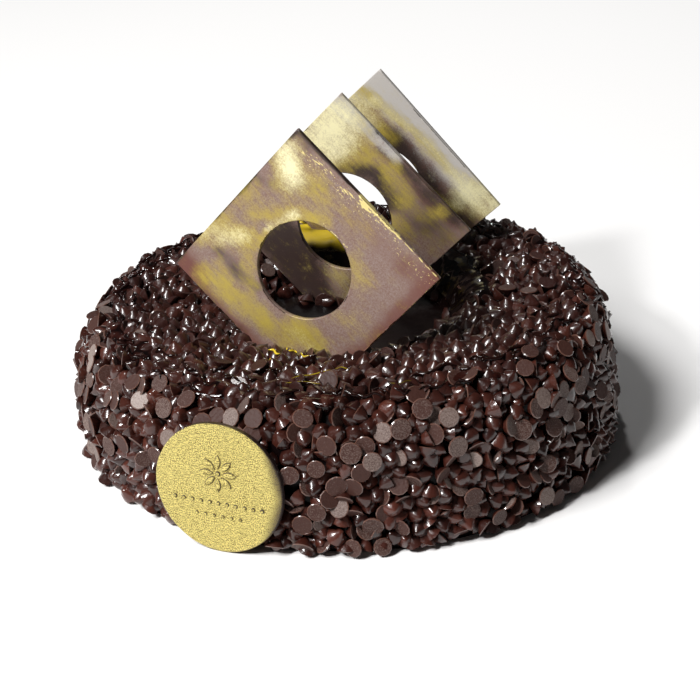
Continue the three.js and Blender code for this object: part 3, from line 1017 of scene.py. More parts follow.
    def dust_at(self, points: Array) -> Array:
        """How much gold dust fell from the plaques on places."""
        return np.max([plaque.dust_at(points) for plaque in self.plaques], axis=0)

    def glaze_edge(self, points: Array) -> Array:
        """The run at which the glaze ends near points."""
        return self.glaze_end + self.glaze_waves.at(points)

    def packed(self) -> tuple[DropPlaces, Array]:
        """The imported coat, and which of its chips the glaze covers."""
        rng = np.random.default_rng(self.seed)
        run = self.outline.random_runs(rng, self.count, self.outline.pool_end + 0.01, 1.0)
        angle = rng.random(self.count) * TURN
        normal = self.outline.normals(run, angle)
        lean, spread, depth = Lie.draw(rng, run < self.glaze_end).T
        axis = self.axes_for(rng, normal, lean, spread)
        centre = self.outline.points(run, angle) + normal * depth[:, None]
        proud = self.envelope + rng.normal(0, self.envelope_spread, self.count)
        centre = self.settle(centre, axis, depth + rng.normal(0, self.depth_spread, self.count), proud)
        keep = ~self.medallion.covers(centre) & ~self.in_clearing(centre, axis)
        centre, axis, run = centre[keep], axis[keep], run[keep]
        edge = self.glaze_edge(centre)
        glaze = smooth_step(edge + self.glaze_fade, edge - self.glaze_fade, run)
        return self.look.draw(rng, centre, axis, glaze, self.dust_at(centre)), glaze > 0.5

    def in_pool(self) -> DropPlaces:
        """A few chips that fell in the pool, in a row before the middle plaque's foot."""
        rng = np.random.default_rng(self.seed + 2)
        count = self.pool_count
        crossing, slope = self.pool_line
        along, across = self.pool_jitter
        lowest, more = self.pool_heights
        x = np.linspace(*self.pool_ends, count) + rng.normal(0, along, count)
        y = crossing + slope * x + rng.normal(0, across, count)
        axis = unit(rng.normal(size=(count, 3)) + self.pool_upright * Z_AXIS)
        centre = np.column_stack([x, y, self.outline.pool_height + lowest + more * rng.random(count)])
        self.move_off(self.plaques[1], centre, axis)
        places = self.look.draw(rng, centre, axis, np.ones(count), self.dust_at(centre))
        return places.only(~self.in_clearing(centre, axis))

    def loose(self) -> DropPlaces:
        """Chips that lie on the table against the foot of the cake, closer to it at the right front."""
        rng = np.random.default_rng(self.seed + 1)
        count = self.foot_count
        angle = (np.arange(count) + self.foot_jitter * rng.random(count)) * TURN / count
        run = np.ones(count)
        normal = self.outline.normals(run, angle)
        outward = np.column_stack([normal[:, 0], normal[:, 1], np.zeros(count)])
        upright = rng.random(count) < self.foot_upright
        first_tilt, tilt = self.foot_tilts
        axis = np.where(upright[:, None], Z_AXIS + first_tilt * rng.normal(size=outward.shape), outward)
        axis = unit(axis + tilt * rng.normal(size=axis.shape))
        closer = 1 - 0.8 * np.clip(np.cos(angle + 0.6), 0, 1)
        stray = (self.foot_near + self.foot_stray * rng.random(count)) * closer
        centre = self.outline.points(run, angle) + outward * stray[:, None]
        centre[:, 2] = self.table_gap + self.below(axis)
        keep = ~self.medallion.covers(centre)
        centre = centre[keep]
        return self.look.draw(rng, centre, axis[keep], np.zeros(len(centre)), self.dust_at(centre))

    def build(self) -> list[Object]:
        """Makes the chips of the side, of the glazed top, of the pool and of the foot."""
        shapes = bpy.data.collections.new("drop_shapes")
        for shape in (
            DropShape("drop_1_straight"),
            DropShape("drop_2_curled", curl=0.9),
            DropShape("drop_3_flat", height=3.9, squash=1.05),
            DropShape("drop_4_dented", height=4.4, curl=0.4, dent=1.2),
        ):
            shapes.objects.link(shape.build())
        scatter = ScatterTree(shapes)
        material = self.finish.material()
        places, top = self.packed()
        groups = {
            "side_chips": places.only(~top),
            "top_chips": places.only(top),
            "pool_chips": self.in_pool(),
            "foot_chips": self.loose(),
        }
        pieces = []
        for seed, (name, group) in enumerate(groups.items()):
            pieces.append(scatter.scatter(name, group, material, seed, self.size_spread))
            log.info("%s: %d chips", name, len(group.centre))
        return pieces


# ---------------------------------------------------------------- the glaze


@dataclass(frozen=True)
class Thread:
    """One thread of glaze that lies over the chips.

    Attributes:
        turn: The compass angle of its middle, in radians.
        run: The run of its middle.
        length: Its length round the cake, in millimetres.
        drift: How much its run changes from end to end.
        radius: Its thickest radius.
        dust: How much gold dust it carries.
    """

    turn: float
    run: float
    length: float
    drift: float
    radius: float
    dust: float = 0.0


@dataclass
class TopGlaze:
    """Glaze poured over the top: a film that fills the gaps between the chips, and threads drawn over its edge.

    It goes into the core at its edges, which wander, sinks between the chips in places, and stands over them in the
    drowned ones, each with its bearing, its half width in degrees and the run that it reaches. The bands, breaks,
    depths and slopes hold where something begins and where it is full.
    """

    coat: ChipCoat
    finish: Ganache
    thickness: float = 0.15
    first_run: float = 0.222
    last_run: float = 0.72
    rows: int = 86
    columns: int = 560
    rows_below: int = 8
    tuck: float = 0.9
    sink: float = 3.3
    drowned: tuple[Point, ...] = ((45.0, 62.0, 0.4), (106.0, 24.0, 0.49))
    over_edge: float = 0.012
    fades: Span = (0.014, 0.018)
    edge_waves: Waves = Waves(7, 13, 0.03)
    still_waves: Waves = Waves(12, 14, 0.02)
    rim_waves: Waves = Waves(18, 15)
    rim_band: Span = (0.07, 0.02)
    rim_breaks: Span = (-0.4, 0.1)
    rim_inset: float = 0.02
    rim_unsunk: float = 0.8
    rim_flooded: float = 0.3
    flood_depth: float = 0.3
    flood_passes: int = 14
    underside: float = 0.4
    sink_waves: Waves = Waves(15, 12)
    sink_breaks: Span = (-0.95, -0.2)
    thin_depths: Span = (1.3, 0.2)
    thin_slopes: Span = (2.6, 0.8)
    threads: int = 110
    thread_points: int = 18
    thread_sides: int = 6
    seed: int = 23

    def measure(self, points: Array, normals: Array, chips: list[Object]) -> Array:
        """How high the chips stand over places of the core.

        Args:
            points: Places on the core.
            normals: The outward directions there.
            chips: Pieces of chips.

        Returns:
            One height for each place, 0 where there is no chip.
        """
        corners, faces = [], []
        for piece in chips:
            start = len(corners)
            corners += [tuple(v.co / MM) for v in piece.data.vertices]
            faces += [[start + i for i in polygon.vertices] for polygon in piece.data.polygons]
        tree = BVHTree.FromPolygons(corners, faces)
        far = 14.0
        hits = [tree.ray_cast(Vector(p + far * n), Vector(-n), far)[3] for p, n in zip(points, normals)]
        return np.array([0.0 if distance is None else far - distance for distance in hits])

    def around(self, heights: Array, pick: np.ufunc, cells: int) -> Array:
        """The largest or the smallest height near each cell of the grid, up to some rows and one column more off."""
        padded = np.pad(heights, ((cells, cells), (0, 0)), "edge")
        off = [(i, j) for i in range(-cells, cells + 1) for j in range(-cells - 1, cells + 2)]
        near = [(i, j) for i, j in off if (i / cells) ** 2 + (j / (cells + 1)) ** 2 < 1.3]
        return pick.reduce([np.roll(padded[cells + i : cells + i + len(heights)], j, axis=1) for i, j in near])

    def soften(self, heights: Array, passes: int) -> Array:
        """Evens the heights out with their neighbours' on the grid."""
        for _ in range(passes):
            heights = (np.roll(heights, 1, axis=1) + 2 * heights + np.roll(heights, -1, axis=1)) / 4
            padded = np.pad(heights, ((1, 1), (0, 0)), "edge")
            heights = (padded[:-2] + 2 * padded[1:-1] + padded[2:]) / 4
        return heights

    def stillness(self, points: Array, run: Array, angle: Array) -> Array:
        """How much the glaze stands over the chips at places, from 0 to 1."""
        still = np.zeros(len(points))
        for bearing, half_width, end in self.drowned:
            off = np.abs((np.degrees(angle) - bearing + 180) % 360 - 180) / half_width
            level = end - 0.03 * off + self.still_waves.at(points)
            still = np.maximum(still, smooth_step(level + 0.03, level - 0.02, run) * smooth_step(1.15, 0.85, off))
        return still

    def film(self, chips: list[Object]) -> tuple[Object, Array]:
        """Makes the film.

        Args:
            chips: The pieces that it lies over.

        Returns:
            The closed film, and how high a thread over the chips would lie at each cell of its grid.
        """
        outline = self.coat.outline
        run, angle = run_grid(np.linspace(self.first_run, self.last_run, self.rows), self.columns)
        points, normals = outline.points(run, angle), outline.normals(run, angle)
        shape = (self.rows, self.columns)
        bare = self.measure(points, normals, chips).reshape(shape)
        crest = self.around(bare, np.maximum, 2)
        filled = self.soften(self.around(self.around(bare, np.maximum, 1), np.minimum, 1), 1)
        edge = self.coat.glaze_edge(points) + self.over_edge + self.edge_waves.at(points)
        outer_fade, inner_fade = self.fades
        cover = smooth_step(edge + outer_fade, edge - outer_fade, run)
        cover *= smooth_step(self.first_run, self.first_run + inner_fade, run)
        still = self.stillness(points, run, angle)
        rim = smooth_step(*self.rim_band, np.abs(run + self.rim_inset - edge))
        rim *= smooth_step(*self.rim_breaks, self.rim_waves.at(points))
        sunk = self.sink * smooth_step(*self.sink_breaks, self.sink_waves.at(points))
        sunk *= (1 - still) * (1 - self.rim_unsunk * rim)
        flood = self.soften(self.around(self.around(crest, np.maximum, 2), np.minimum, 3), self.flood_passes)
        flooded = np.maximum(still, self.rim_flooded * rim).reshape(shape)
        filled += (np.maximum(flood, filled) + self.flood_depth - filled) * flooded
        height = (filled + self.thickness - sunk.reshape(shape) + self.tuck) * cover.reshape(shape) - self.tuck
        thin = smooth_step(*self.thin_depths, height - bare) * smooth_step(*self.thin_slopes, crest - height)
        thin = thin.ravel() * (1 - still) * smooth_step(outline.pool_end, outline.pool_end + 0.03, run)
        below = run_grid(np.linspace(self.last_run, self.first_run, self.rows_below), self.columns)
        under = outline.points(*below) - outline.normals(*below) * (self.tuck + self.underside)
        upper = points + normals * height.reshape(-1, 1)
        spare = np.zeros(len(under))
        amounts = {"thin": thin, "still": still, "gold": self.coat.dust_at(upper)}
        piece = mesh_piece(
            "top_glaze",
            np.vstack([upper, under]),
            grid_faces(self.rows + self.rows_below, self.columns, close_rows=True),
            self.finish.material(),
            {label: np.concatenate([values, spare]) for label, values in amounts.items()},
        )
        return piece, self.soften(self.around(crest, np.minimum, 2), 2)

    def path(self, heights: Array, thread: Thread) -> tuple[Array, Array]:
        """The points that a thread runs through, and the outward directions there."""
        outline = self.coat.outline
        t = np.linspace(-0.5, 0.5, self.thread_points)
        reach = np.linalg.norm(outline.points(np.array([thread.run]), np.array([thread.turn]))[0, :2])
        angle = thread.turn + t * thread.length / reach
        runs = thread.run + thread.drift * t + 0.006 * np.sin(thread.turn * 40 + t * 7)
        row = (runs - self.first_run) / (self.last_run - self.first_run) * (self.rows - 1)
        row = np.clip(np.rint(row), 0, self.rows - 1).astype(int)
        column = np.rint(angle / TURN * self.columns).astype(int) % self.columns
        height = heights[row, column]
        height = np.maximum(height, np.convolve(np.pad(height, 2, "edge"), np.full(5, 0.2), "valid"))
        normals = outline.normals(runs, angle)
        path = outline.points(runs, angle) + normals * (height + 0.3 * thread.radius)[:, None]
        for _ in range(3):
            path[1:-1] = (path[:-2] + 2 * path[1:-1] + path[2:]) / 4
        return path, normals

    def tube(self, heights: Array, thread: Thread) -> tuple[Array, list]:
        """Draws one thread.

        Args:
            heights: How high threads lie at each cell of the film's grid.
            thread: The thread.

        Returns:
            Its vertices in millimetres and its faces.
        """
        path, normals = self.path(heights, thread)
        along = unit(np.gradient(path, axis=0))
        side = unit(np.cross(along, normals))
        up = np.cross(side, along)
        t = np.linspace(-0.5, 0.5, self.thread_points)
        thick = thread.radius * np.clip(1 - (2 * t) ** 4, 0.15, 1)[:, None]
        phases = even_angles(self.thread_sides)
        rings = np.stack([path + thick * (math.cos(a) * side + math.sin(a) * up) for a in phases], axis=1)
        faces = grid_faces(self.thread_points, self.thread_sides)
        first = self.thread_points * self.thread_sides
        for j in range(self.thread_sides):
            k = (j + 1) % self.thread_sides
            end = first - self.thread_sides
            faces += [(j, k, first), (end + k, end + j, first + 1)]
        return np.vstack([rings.reshape(-1, 3), path[0], path[-1]]), faces

    def strands(self, name: str, heights: Array, threads: list[Thread]) -> Object:
        """Joins threads to one piece.

        Args:
            name: The piece's name.
            heights: How high threads lie at each cell of the film's grid.
            threads: The threads.

        Returns:
            The piece.
        """
        corners, faces, gold = [], [], []
        for thread in threads:
            points, sides = self.tube(heights, thread)
            faces += [[len(corners) + i for i in face] for face in sides]
            corners += points.tolist()
            gold += [thread.dust] * len(points)
        amounts = {"thin": np.full(len(corners), 0.3), "gold": np.array(gold)}
        return mesh_piece(name, np.array(corners), faces, self.finish.material(), amounts)

    def build(self, chips: list[Object]) -> list[Object]:
        """Makes the film, the dark threads all round the rim and the gilded ones before the front plaque."""
        rng = np.random.default_rng(self.seed)
        film, heights = self.film(chips)
        dark = [
            Thread(
                turn,
                run=0.47 + 0.17 * rng.random() ** 0.4,
                length=4 + 8 * rng.random(),
                drift=rng.normal(0, 0.012),
                radius=0.4 + 0.35 * rng.random(),
            )
            for turn in (np.arange(self.threads) + rng.random(self.threads)) * TURN / self.threads
        ]
        gilded = [
            Thread(math.radians(bearing), *rest)
            for bearing, *rest in (  # run, length, drift, radius and dust, as in Thread
                (-101.5, 0.561, 12.3, -0.012, 0.24, 0.35),
                (-100.2, 0.51, 13.0, -0.05, 0.26, 0.45),
                (-92.2, 0.48, 4.6, 0.005, 0.22, 0.35),
                (-77.9, 0.59, 8.7, -0.01, 0.2, 0.2),
                (-117.5, 0.402, 5.8, 0.014, 0.5, 1.0),
                (-114.7, 0.356, 3.2, 0.0, 0.4, 1.0),
                (-111.3, 0.38, 3.6, 0.0, 0.4, 0.9),
                (-106.0, 0.405, 5.0, 0.034, 0.34, 0.8),
                (-115.0, 0.453, 1.6, 0.0, 0.5, 0.9),
            )
        ]
        return [
            film,
            self.strands("glaze_threads", heights, dark),
            self.strands("gilded_threads", heights, gilded),
        ]


# ---------------------------------------------------------------- plaques and medallion


@dataclass(frozen=True)
class Smear:
    """One pull over a plaque, in millimetres of the plaque's own plane: most are of the brush, a few are painted
    shade and light.

    Attributes:
        path: The points that it passes.
        width: How far from the path it fades out.
        strength: How much it leaves on the path.
    """

    path: Path
    width: float
    strength: float

    def at(self, points: Array) -> Array:
        """How much of its coat the smear leaves at points of the plane."""
        nearest = np.full(len(points), np.inf)
        for start, end in zip(self.path, self.path[1:]):
            start, along = np.array(start), np.array(end) - np.array(start)
            share = np.clip((points - start) @ along / (along @ along), 0, 1)
            nearest = np.minimum(nearest, np.linalg.norm(points - start - share[:, None] * along, axis=1))
        return self.strength * smooth_step(1.25 * self.width, 0, nearest)


@dataclass
class GildedPlaque:
    """A square chocolate plaque that stands on one corner, with a round hole cut in its middle.

    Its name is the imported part's node, which it replaces. The dust spots are places where gold dust fell from it,
    each with how far round it the dust lies.
    """

    name: str
    pose: Pose
    hole: float
    finish: GildedChocolate
    smears: dict[Coat, tuple[Smear, ...]]
    dust_spots: tuple[tuple[float, float, float, float], ...] = ()
    side: float = 74.0
    thickness: float = 2.2
    bevel: float = 0.25
    columns: int = 288
    rows: int = 34
    brush_waves: tuple[Waves, Waves] = (Waves(11, 8, 1.6), Waves(11, 9, 1.6))
    warp: Waves = Waves(30, 7, 0.12)

    def push_away(self, centre: Array, reach: Array) -> None:
        """Moves chips off the plaque, along its face's direction.

        Args:
            centre: The chips' middles, which are changed.
            reach: How far each chip reaches along that direction.
        """
        local = self.pose.local(centre)
        inside = np.abs(local[:, 0]) + np.abs(local[:, 1]) < self.side / math.sqrt(2) + 2
        room = self.thickness / 2 + 0.9 * reach
        short = np.where(inside, np.clip(room - np.abs(local[:, 2]), 0, None), 0)
        centre += (np.sign(local[:, 2]) * short)[:, None] * self.pose.axes()[2]

    def dust_at(self, points: Array) -> Array:
        """How much gold dust fell from the plaque on places, near its dusty spots."""
        dust = np.zeros(len(points))
        for *spot, radius in self.dust_spots:
            distance = np.linalg.norm(points - np.array(spot), axis=1)
            dust = np.maximum(dust, smooth_step(radius, 0.4 * radius, distance))
        return dust

    def section(self) -> list[Point]:
        """Rows round the plaque's wall: share from hole to rim, step in from the edge, and height over its middle."""
        half, bevel = self.thickness / 2, self.bevel
        close = [0.012, 0.03, 0.06]
        shares = [0.0, *close, *np.linspace(0.1, 0.9, self.rows), *(1 - t for t in reversed(close)), 1.0]
        front = [(t, bevel * (1 if t in (0.0, 1.0) else 0), half) for t in shares]
        rim = [(1.0, 0.0, half - bevel), (1.0, 0.0, bevel - half)]
        back = [(t, step, -half) for t, step, _ in reversed(front)]
        wall = [(0.0, 0.0, bevel - half), (0.0, 0.0, half - bevel)]
        return [*front, *rim, *back, *wall]

    def build(self) -> Object:
        """Makes the plaque as one closed band of quads."""
        angle = even_angles(self.columns)
        circle = np.column_stack([np.cos(angle), np.sin(angle)]) * self.hole / 2
        reach = self.side / math.sqrt(2) / (np.abs(np.cos(angle)) + np.abs(np.sin(angle)))
        square = np.column_stack([np.cos(angle), np.sin(angle)]) * reach[:, None]
        span = np.linalg.norm(square - circle, axis=1)
        rows = []
        for share, step, height in self.section():
            t = (share + step / span * (1 - 2 * share))[:, None]
            rows.append(np.column_stack([circle * (1 - t) + square * t, np.full(self.columns, height)]))
        local = np.vstack(rows)
        flat = local[:, :2]
        uneven = np.column_stack([flat, local[:, 2] * 0.3])
        bent = flat + np.column_stack([way.at(uneven) for way in self.brush_waves])
        tone = {}
        for coat in Coat:
            bare = np.ones(len(flat))
            for smear in self.smears.get(coat, ()):
                bare *= 1 - smear.at(flat if coat in (Coat.LEAF, Coat.SCRATCH) else bent)
            tone[coat.value] = 1 - bare
        local[:, 2] += self.warp.at(np.column_stack([flat, np.zeros(len(flat))]))
        piece = mesh_piece(
            self.name + "_gilded",
            self.pose.place(local),
            grid_faces(len(rows), self.columns, close_rows=True),
            self.finish.material(),
            tone,
            uneven,
        )
        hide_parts(self.name)
        return piece


@dataclass
class Medallion:
    """A chocolate disc dusted with gold, with a plain rosette over two rows of beads.

    A row of beads holds how far it is below the middle, its width, its beads and their radius. The wear and shade
    numbers are how far the dust is worn off round the rim, and how much painted shade darkens the ornament's edges
    and the right side.
    """

    finish: GoldDust
    diameter: float = 49.5
    thickness: float = 2.8
    bevel: float = 0.5
    bearing: float = -116.2
    distance: float = 107.6
    facing: float = -112.1
    lean: float = 5.4
    relief: float = 0.6
    petals: int = 8
    petal_span: Span = (1.6, 7.4)
    petal_half_width: float = 1.3
    rosette_height: float = 6.0
    rosette_eye: float = 1.2
    bead_rows: tuple[tuple[float, float, int, float], ...] = ((5.6, 34.0, 11, 0.95), (10.6, 17.0, 6, 0.8))
    rim_steps: tuple[float, ...] = (-0.35, -0.5, -0.75)
    grain: Waves = Waves(2.2, 2, 0.06)
    swell: Waves = Waves(7, 3, 0.06)
    wobble: Waves = Waves(8, 6, 0.006)
    wears: Point = (0.52, 3.0, 0.56)
    cells: int = 220
    pose: Pose = field(init=False)

    def __post_init__(self) -> None:
        """Finds where the middle of the shown face stands."""
        radius, lean, bearing = self.diameter / 2, math.radians(self.lean), math.radians(self.bearing)
        raised = radius * math.cos(lean) + (self.thickness - self.bevel) * math.sin(lean)
        middle = (self.distance * math.cos(bearing), self.distance * math.sin(bearing), raised)
        self.pose = Pose(middle, self.facing, self.lean)

    def push_away(self, centre: Array, reach: Array) -> None:
        """Moves chips that touch the rim outwards from the disc's middle.

        Args:
            centre: The chips' middles, which are changed.
            reach: How far each chip reaches along the disc's axis.
        """
        local = self.pose.local(centre)
        radial = np.hypot(local[:, 0], local[:, 1])
        near = (local[:, 2] > -self.thickness - 0.8 * reach) & (radial > self.diameter / 2 - 2)
        room = self.diameter / 2 + 2.6
        short = np.where(near, np.clip(room - radial, 0, None), 0) / np.maximum(radial, 1e-6)
        centre += (short * local[:, 0])[:, None] * self.pose.axes()[0]
        centre += (short * local[:, 1])[:, None] * self.pose.axes()[1]

    def covers(self, centre: Array) -> Array:
        """True for chips that would lie in the disc or before it."""
        local = self.pose.local(centre)
        radial = np.hypot(local[:, 0], local[:, 1])
        return (radial < self.diameter / 2 + 1.5) & (local[:, 2] > -self.thickness - 2.4) & (local[:, 2] < 20)

    def ornament(self, x: Array, y: Array) -> Array:
        """Height of the raised ornament at places of the face."""
        rise = np.zeros_like(x)
        above = y - self.rosette_height
        inner, outer = self.petal_span
        length = (inner + outer) / 2
        for a in even_angles(self.petals):
            along = x * math.cos(a) + above * math.sin(a)
            across = -x * math.sin(a) + above * math.cos(a)
            edge = self.petal_half_width * np.clip(1 - ((along - length) / (length - inner)) ** 2, 0, 1)
            rise = np.maximum(rise, smooth_step(-0.1, 0.5, edge - np.abs(across)))
        beads = [(0.0, self.rosette_height, self.rosette_eye)]
        for drop, width, count, radius in self.bead_rows:
            beads += [(width * (i / (count - 1) - 0.5), -drop, radius) for i in range(count)]
        for bead_x, bead_y, radius in beads:
            rise = np.maximum(rise, smooth_step(radius, 0.35 * radius, np.hypot(x - bead_x, y - bead_y)))
        return self.relief * rise

    def build(self) -> Object:
        """Makes the disc as a fine height field with a rim and a back."""
        n, m = self.cells, self.cells + 1
        radius = self.diameter / 2
        inner = radius - self.bevel
        u, v = np.meshgrid(np.linspace(-1, 1, m), np.linspace(-1, 1, m), indexing="ij")
        x = (u * np.sqrt(1 - v * v / 2)).ravel()
        y = (v * np.sqrt(1 - u * u / 2)).ravel()
        disc = np.column_stack([x, y, 0 * x]) * radius
        height = self.ornament(x * inner, y * inner) + self.grain.at(disc) + self.swell.at(disc)
        front = np.column_stack([x * inner, y * inner, height])
        corners = [i * m + j for i in range(n) for j in range(n)]
        faces = [(corner, corner + m, corner + m + 1, corner + 1) for corner in corners]
        ring = [i * m for i in range(n)] + [n * m + j for j in range(n)]
        ring += [i * m + n for i in range(n, 0, -1)] + list(range(n, 0, -1))
        flat = front[ring, :2] / inner
        wobble = 1 + self.wobble.at(np.column_stack([flat, 0 * flat[:, 0]]) * radius)[:, None]
        walls = [(1.0, z) for z in (*self.rim_steps, self.bevel - self.thickness)]
        walls.append((inner / radius, -self.thickness))
        rows = [np.column_stack([flat * radius * t * wobble, np.full(len(flat), z)]) for t, z in walls]
        around, start = len(ring), len(front)
        loops = [ring] + [[start + k * around + j for j in range(around)] for k in range(len(walls))]
        for upper, lower in zip(loops, loops[1:]):
            for j in range(around):
                k = (j + 1) % around
                faces.append((upper[k], upper[j], lower[j], lower[k]))
        faces.append(loops[-1])
        local = np.vstack([front, *rows])
        rise = np.zeros(len(local))
        rise[:start] = self.ornament(front[:, 0], front[:, 1]) / self.relief
        rim_wear, edge_shade, right_shade = self.wears
        # Painted shade: along the ornament's edges and on the right side, the chocolate is bared as at the worn rim,
        # to darken them.
        worn = rim_wear * smooth_step(-0.3, -0.5, local[:, 2]) + edge_shade * rise * (1 - rise)
        worn += right_shade * smooth_step(0.55 * radius, radius, 0.9 * local[:, 0] + 0.25 * np.abs(local[:, 1]))
        points, material = self.pose.place(local), self.finish.material()
        piece = mesh_piece("medallion_gold", points, faces, material, {"bare": worn}, local)
        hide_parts("medallion")
        return piece


# ---------------------------------------------------------------- the studio


@dataclass
class Studio:
    """The floor of matt, nearly white paper, the soft lights and the camera, set as for the photograph."""

    elevation: float = 26.0
    distance: float = 662.0
    aim_height: float = 35.0
    roll: float = -1.7
    lens: float = 84.34
    sensor: float = 36.0
    shift: Span = (0.0024, -0.015)
    clip: Span = (0.01, 20)
    floor: str = "#eeedec"
    backdrop: str = "#ffffff"
    backdrop_strength: float = 0.03

    def camera(self) -> None:
        """Places the camera."""
        data = bpy.data.cameras.new("camera")
        data.lens, data.sensor_width = self.lens, self.sensor
        data.shift_x, data.shift_y = self.shift
        data.clip_start, data.clip_end = self.clip
        camera = new_object("camera", data)
        tilt = math.radians(self.elevation)
        back = Vector((0, -math.cos(tilt), math.sin(tilt)))
        camera.location = (Vector((0, 0, self.aim_height)) + back * self.distance) * MM
        level = Matrix.Rotation(math.pi / 2 - tilt, 4, "X")
        camera.rotation_euler = (level @ Matrix.Rotation(math.radians(self.roll), 4, "Z")).to_euler()
        bpy.context.scene.camera = camera

    def light(self, name: str, kind: str, place: Point, towards: Point, **settings: float) -> None:
        """Adds a light.

        Args:
            name: The light's name.
            kind: SUN or AREA.
            place: Where it stands, in metres.
            towards: A point that it looks at.
            **settings: Its width and its energy, as Blender calls them.
        """
        data = bpy.data.lights.new(name, kind)
        for setting, value in settings.items():
            setattr(data, setting, value)
        light = new_object(name, data)
        light.location = place
        light.rotation_euler = (Vector(towards) - Vector(place)).to_track_quat("-Z", "Y").to_euler()

    def build(self) -> None:
        """Makes the floor, the backdrop's light, the lights and the camera."""
        bpy.ops.mesh.primitive_plane_add(size=6, location=(0, 0, -0.0002))
        floor = bpy.context.object
        floor.name = "floor"
        material, shader, _ = new_material("pale_paper")
        feed(shader, {"Base Color": linear(self.floor), "Roughness": 0.9})
        floor.data.materials.append(material)
        world = bpy.data.worlds.new("studio")
        bpy.context.scene.world = world
        world.use_nodes = True
        inputs = {"Color": linear(self.backdrop), "Strength": self.backdrop_strength}
        feed(world.node_tree.nodes["Background"], inputs)
        cake = (0, 0, 0.04)
        self.light("high_light", "SUN", (0, 0, 0), (0.68, 0.4, -1), angle=math.radians(19), energy=3.1)
        self.light("key_light", "AREA", (-0.65, -0.65, 0.8), cake, size=0.11, energy=10)
        self.light("back_light", "AREA", (0.0, 0.8, 1.0), cake, size=0.09, energy=2.3)
        bpy.context.scene.view_settings.view_transform = "Standard"
        self.camera()


# ---------------------------------------------------------------- the whole


# The path, the width and the strength of each pull over a plaque: mostly the brush, a few painted shade and light.
Pulls = dict[Coat, tuple[tuple[Path, float, float], ...]]

FRONT_PULLS: Pulls = {
    Coat.GOLD: (
        (((-5.3, 43.7), (-4.2, 36.4)), 9.5, 0.95),
        (((-4, 37.5), (7, 33.5)), 7.5, 0.55),
        (((-16, 26.5), (4, 27.5)), 8, 0.35),
        (((-37, 15), (-19.7, 31.1)), 4.5, 0.5),
        (((-38, 11.7), (-30, 13), (-21.6, 11.2)), 8, 0.85),
        (((-24.4, 13), (-20.8, 4), (-21.5, -7)), 5.5, 0.6),
        (((-19.5, 20.9), (-10.9, 19.8), (-0.7, 21.5), (9.8, 18.3)), 4.5, 0.7),
        (((-17.5, 8), (-13.5, 13.8), (-8, 17.6), (-1.5, 19.4), (5, 18.6)), 2.2, 0.8),
        (((-40.5, -3.9), (-29.7, -11), (-16.1, -21.4), (-6.8, -27.1)), 7, 0.85),
        (((-34.2, 0.7), (-29.5, -8.8)), 4, 0.6),
        (((19.8, 3.9), (23.8, -2.7)), 6.5, 0.6),
        (((8, 30), (24, 16)), 7, 0.35),
        (((-2.8, -21.8), (4.1, -29.8)), 7.5, 0.95),
        (((18, -18), (25.1, -26)), 9, 0.3),
    ),
    Coat.PALE: (
        (((-5.3, 44.5), (-3, 35)), 9, 0.9),
        (((-36, 12), (-25, 11)), 8, 0.6),
        (((-6, -25), (4, -31)), 6, 0.3),
        (((-13, 15), (-2, 21)), 3.5, 0.6),
    ),
    Coat.DARK: (
        (((-16, 33), (-3, 31), (10, 32)), 4, 0.3),
        (((-34.6, 4.9), (-19, -7.5)), 4, 0.5),
        (((0, 51), (4, 46)), 5, 0.4),
        (((-43, -9.7), (-25.4, -26.4)), 3, 0.35),
        (((-52.3, 0.4), (-0.4, 52.3), (22, 30.3)), 1, 0.9),
    ),
    Coat.BROWN: (
        (((-53, 3), (-46, -4)), 10, 1),
        (((-44, -8), (-25, -27), (-14, -38)), 6, 0.7),
        (((53, 0), (36, -16), (14, -38)), 8, 0.75),
        (((53, 0), (42, 2)), 9, 0.5),
        (((20, 20), (38, 6)), 8, 0.35),
    ),
    Coat.LEAF: (
        (((2.5, 43.9), (12.7, 36.1)), 3.4, 0.47),
        (((15.3, 31.9), (24.8, 25.6)), 3.2, 0.49),
        (((23, 28.9), (51.5, 0.4)), 0.7, 0.6),
        (((51.5, -0.8), (30, -22.3)), 0.6, 0.5),
        (((8.4, 18), (17.3, 9.5)), 1.6, 0.5),
        (((24.8, 25.6), (36, 14)), 2.2, 0.45),
    ),
    Coat.SCRATCH: (
        (((6, 40), (25, 24.5), (50, 0)), 4, 0.1),
        (((3, 38), (26, 19), (48, -3)), 13, 0.42),
        (((-10, -20), (30, -14)), 12, 0.38),
    ),
}

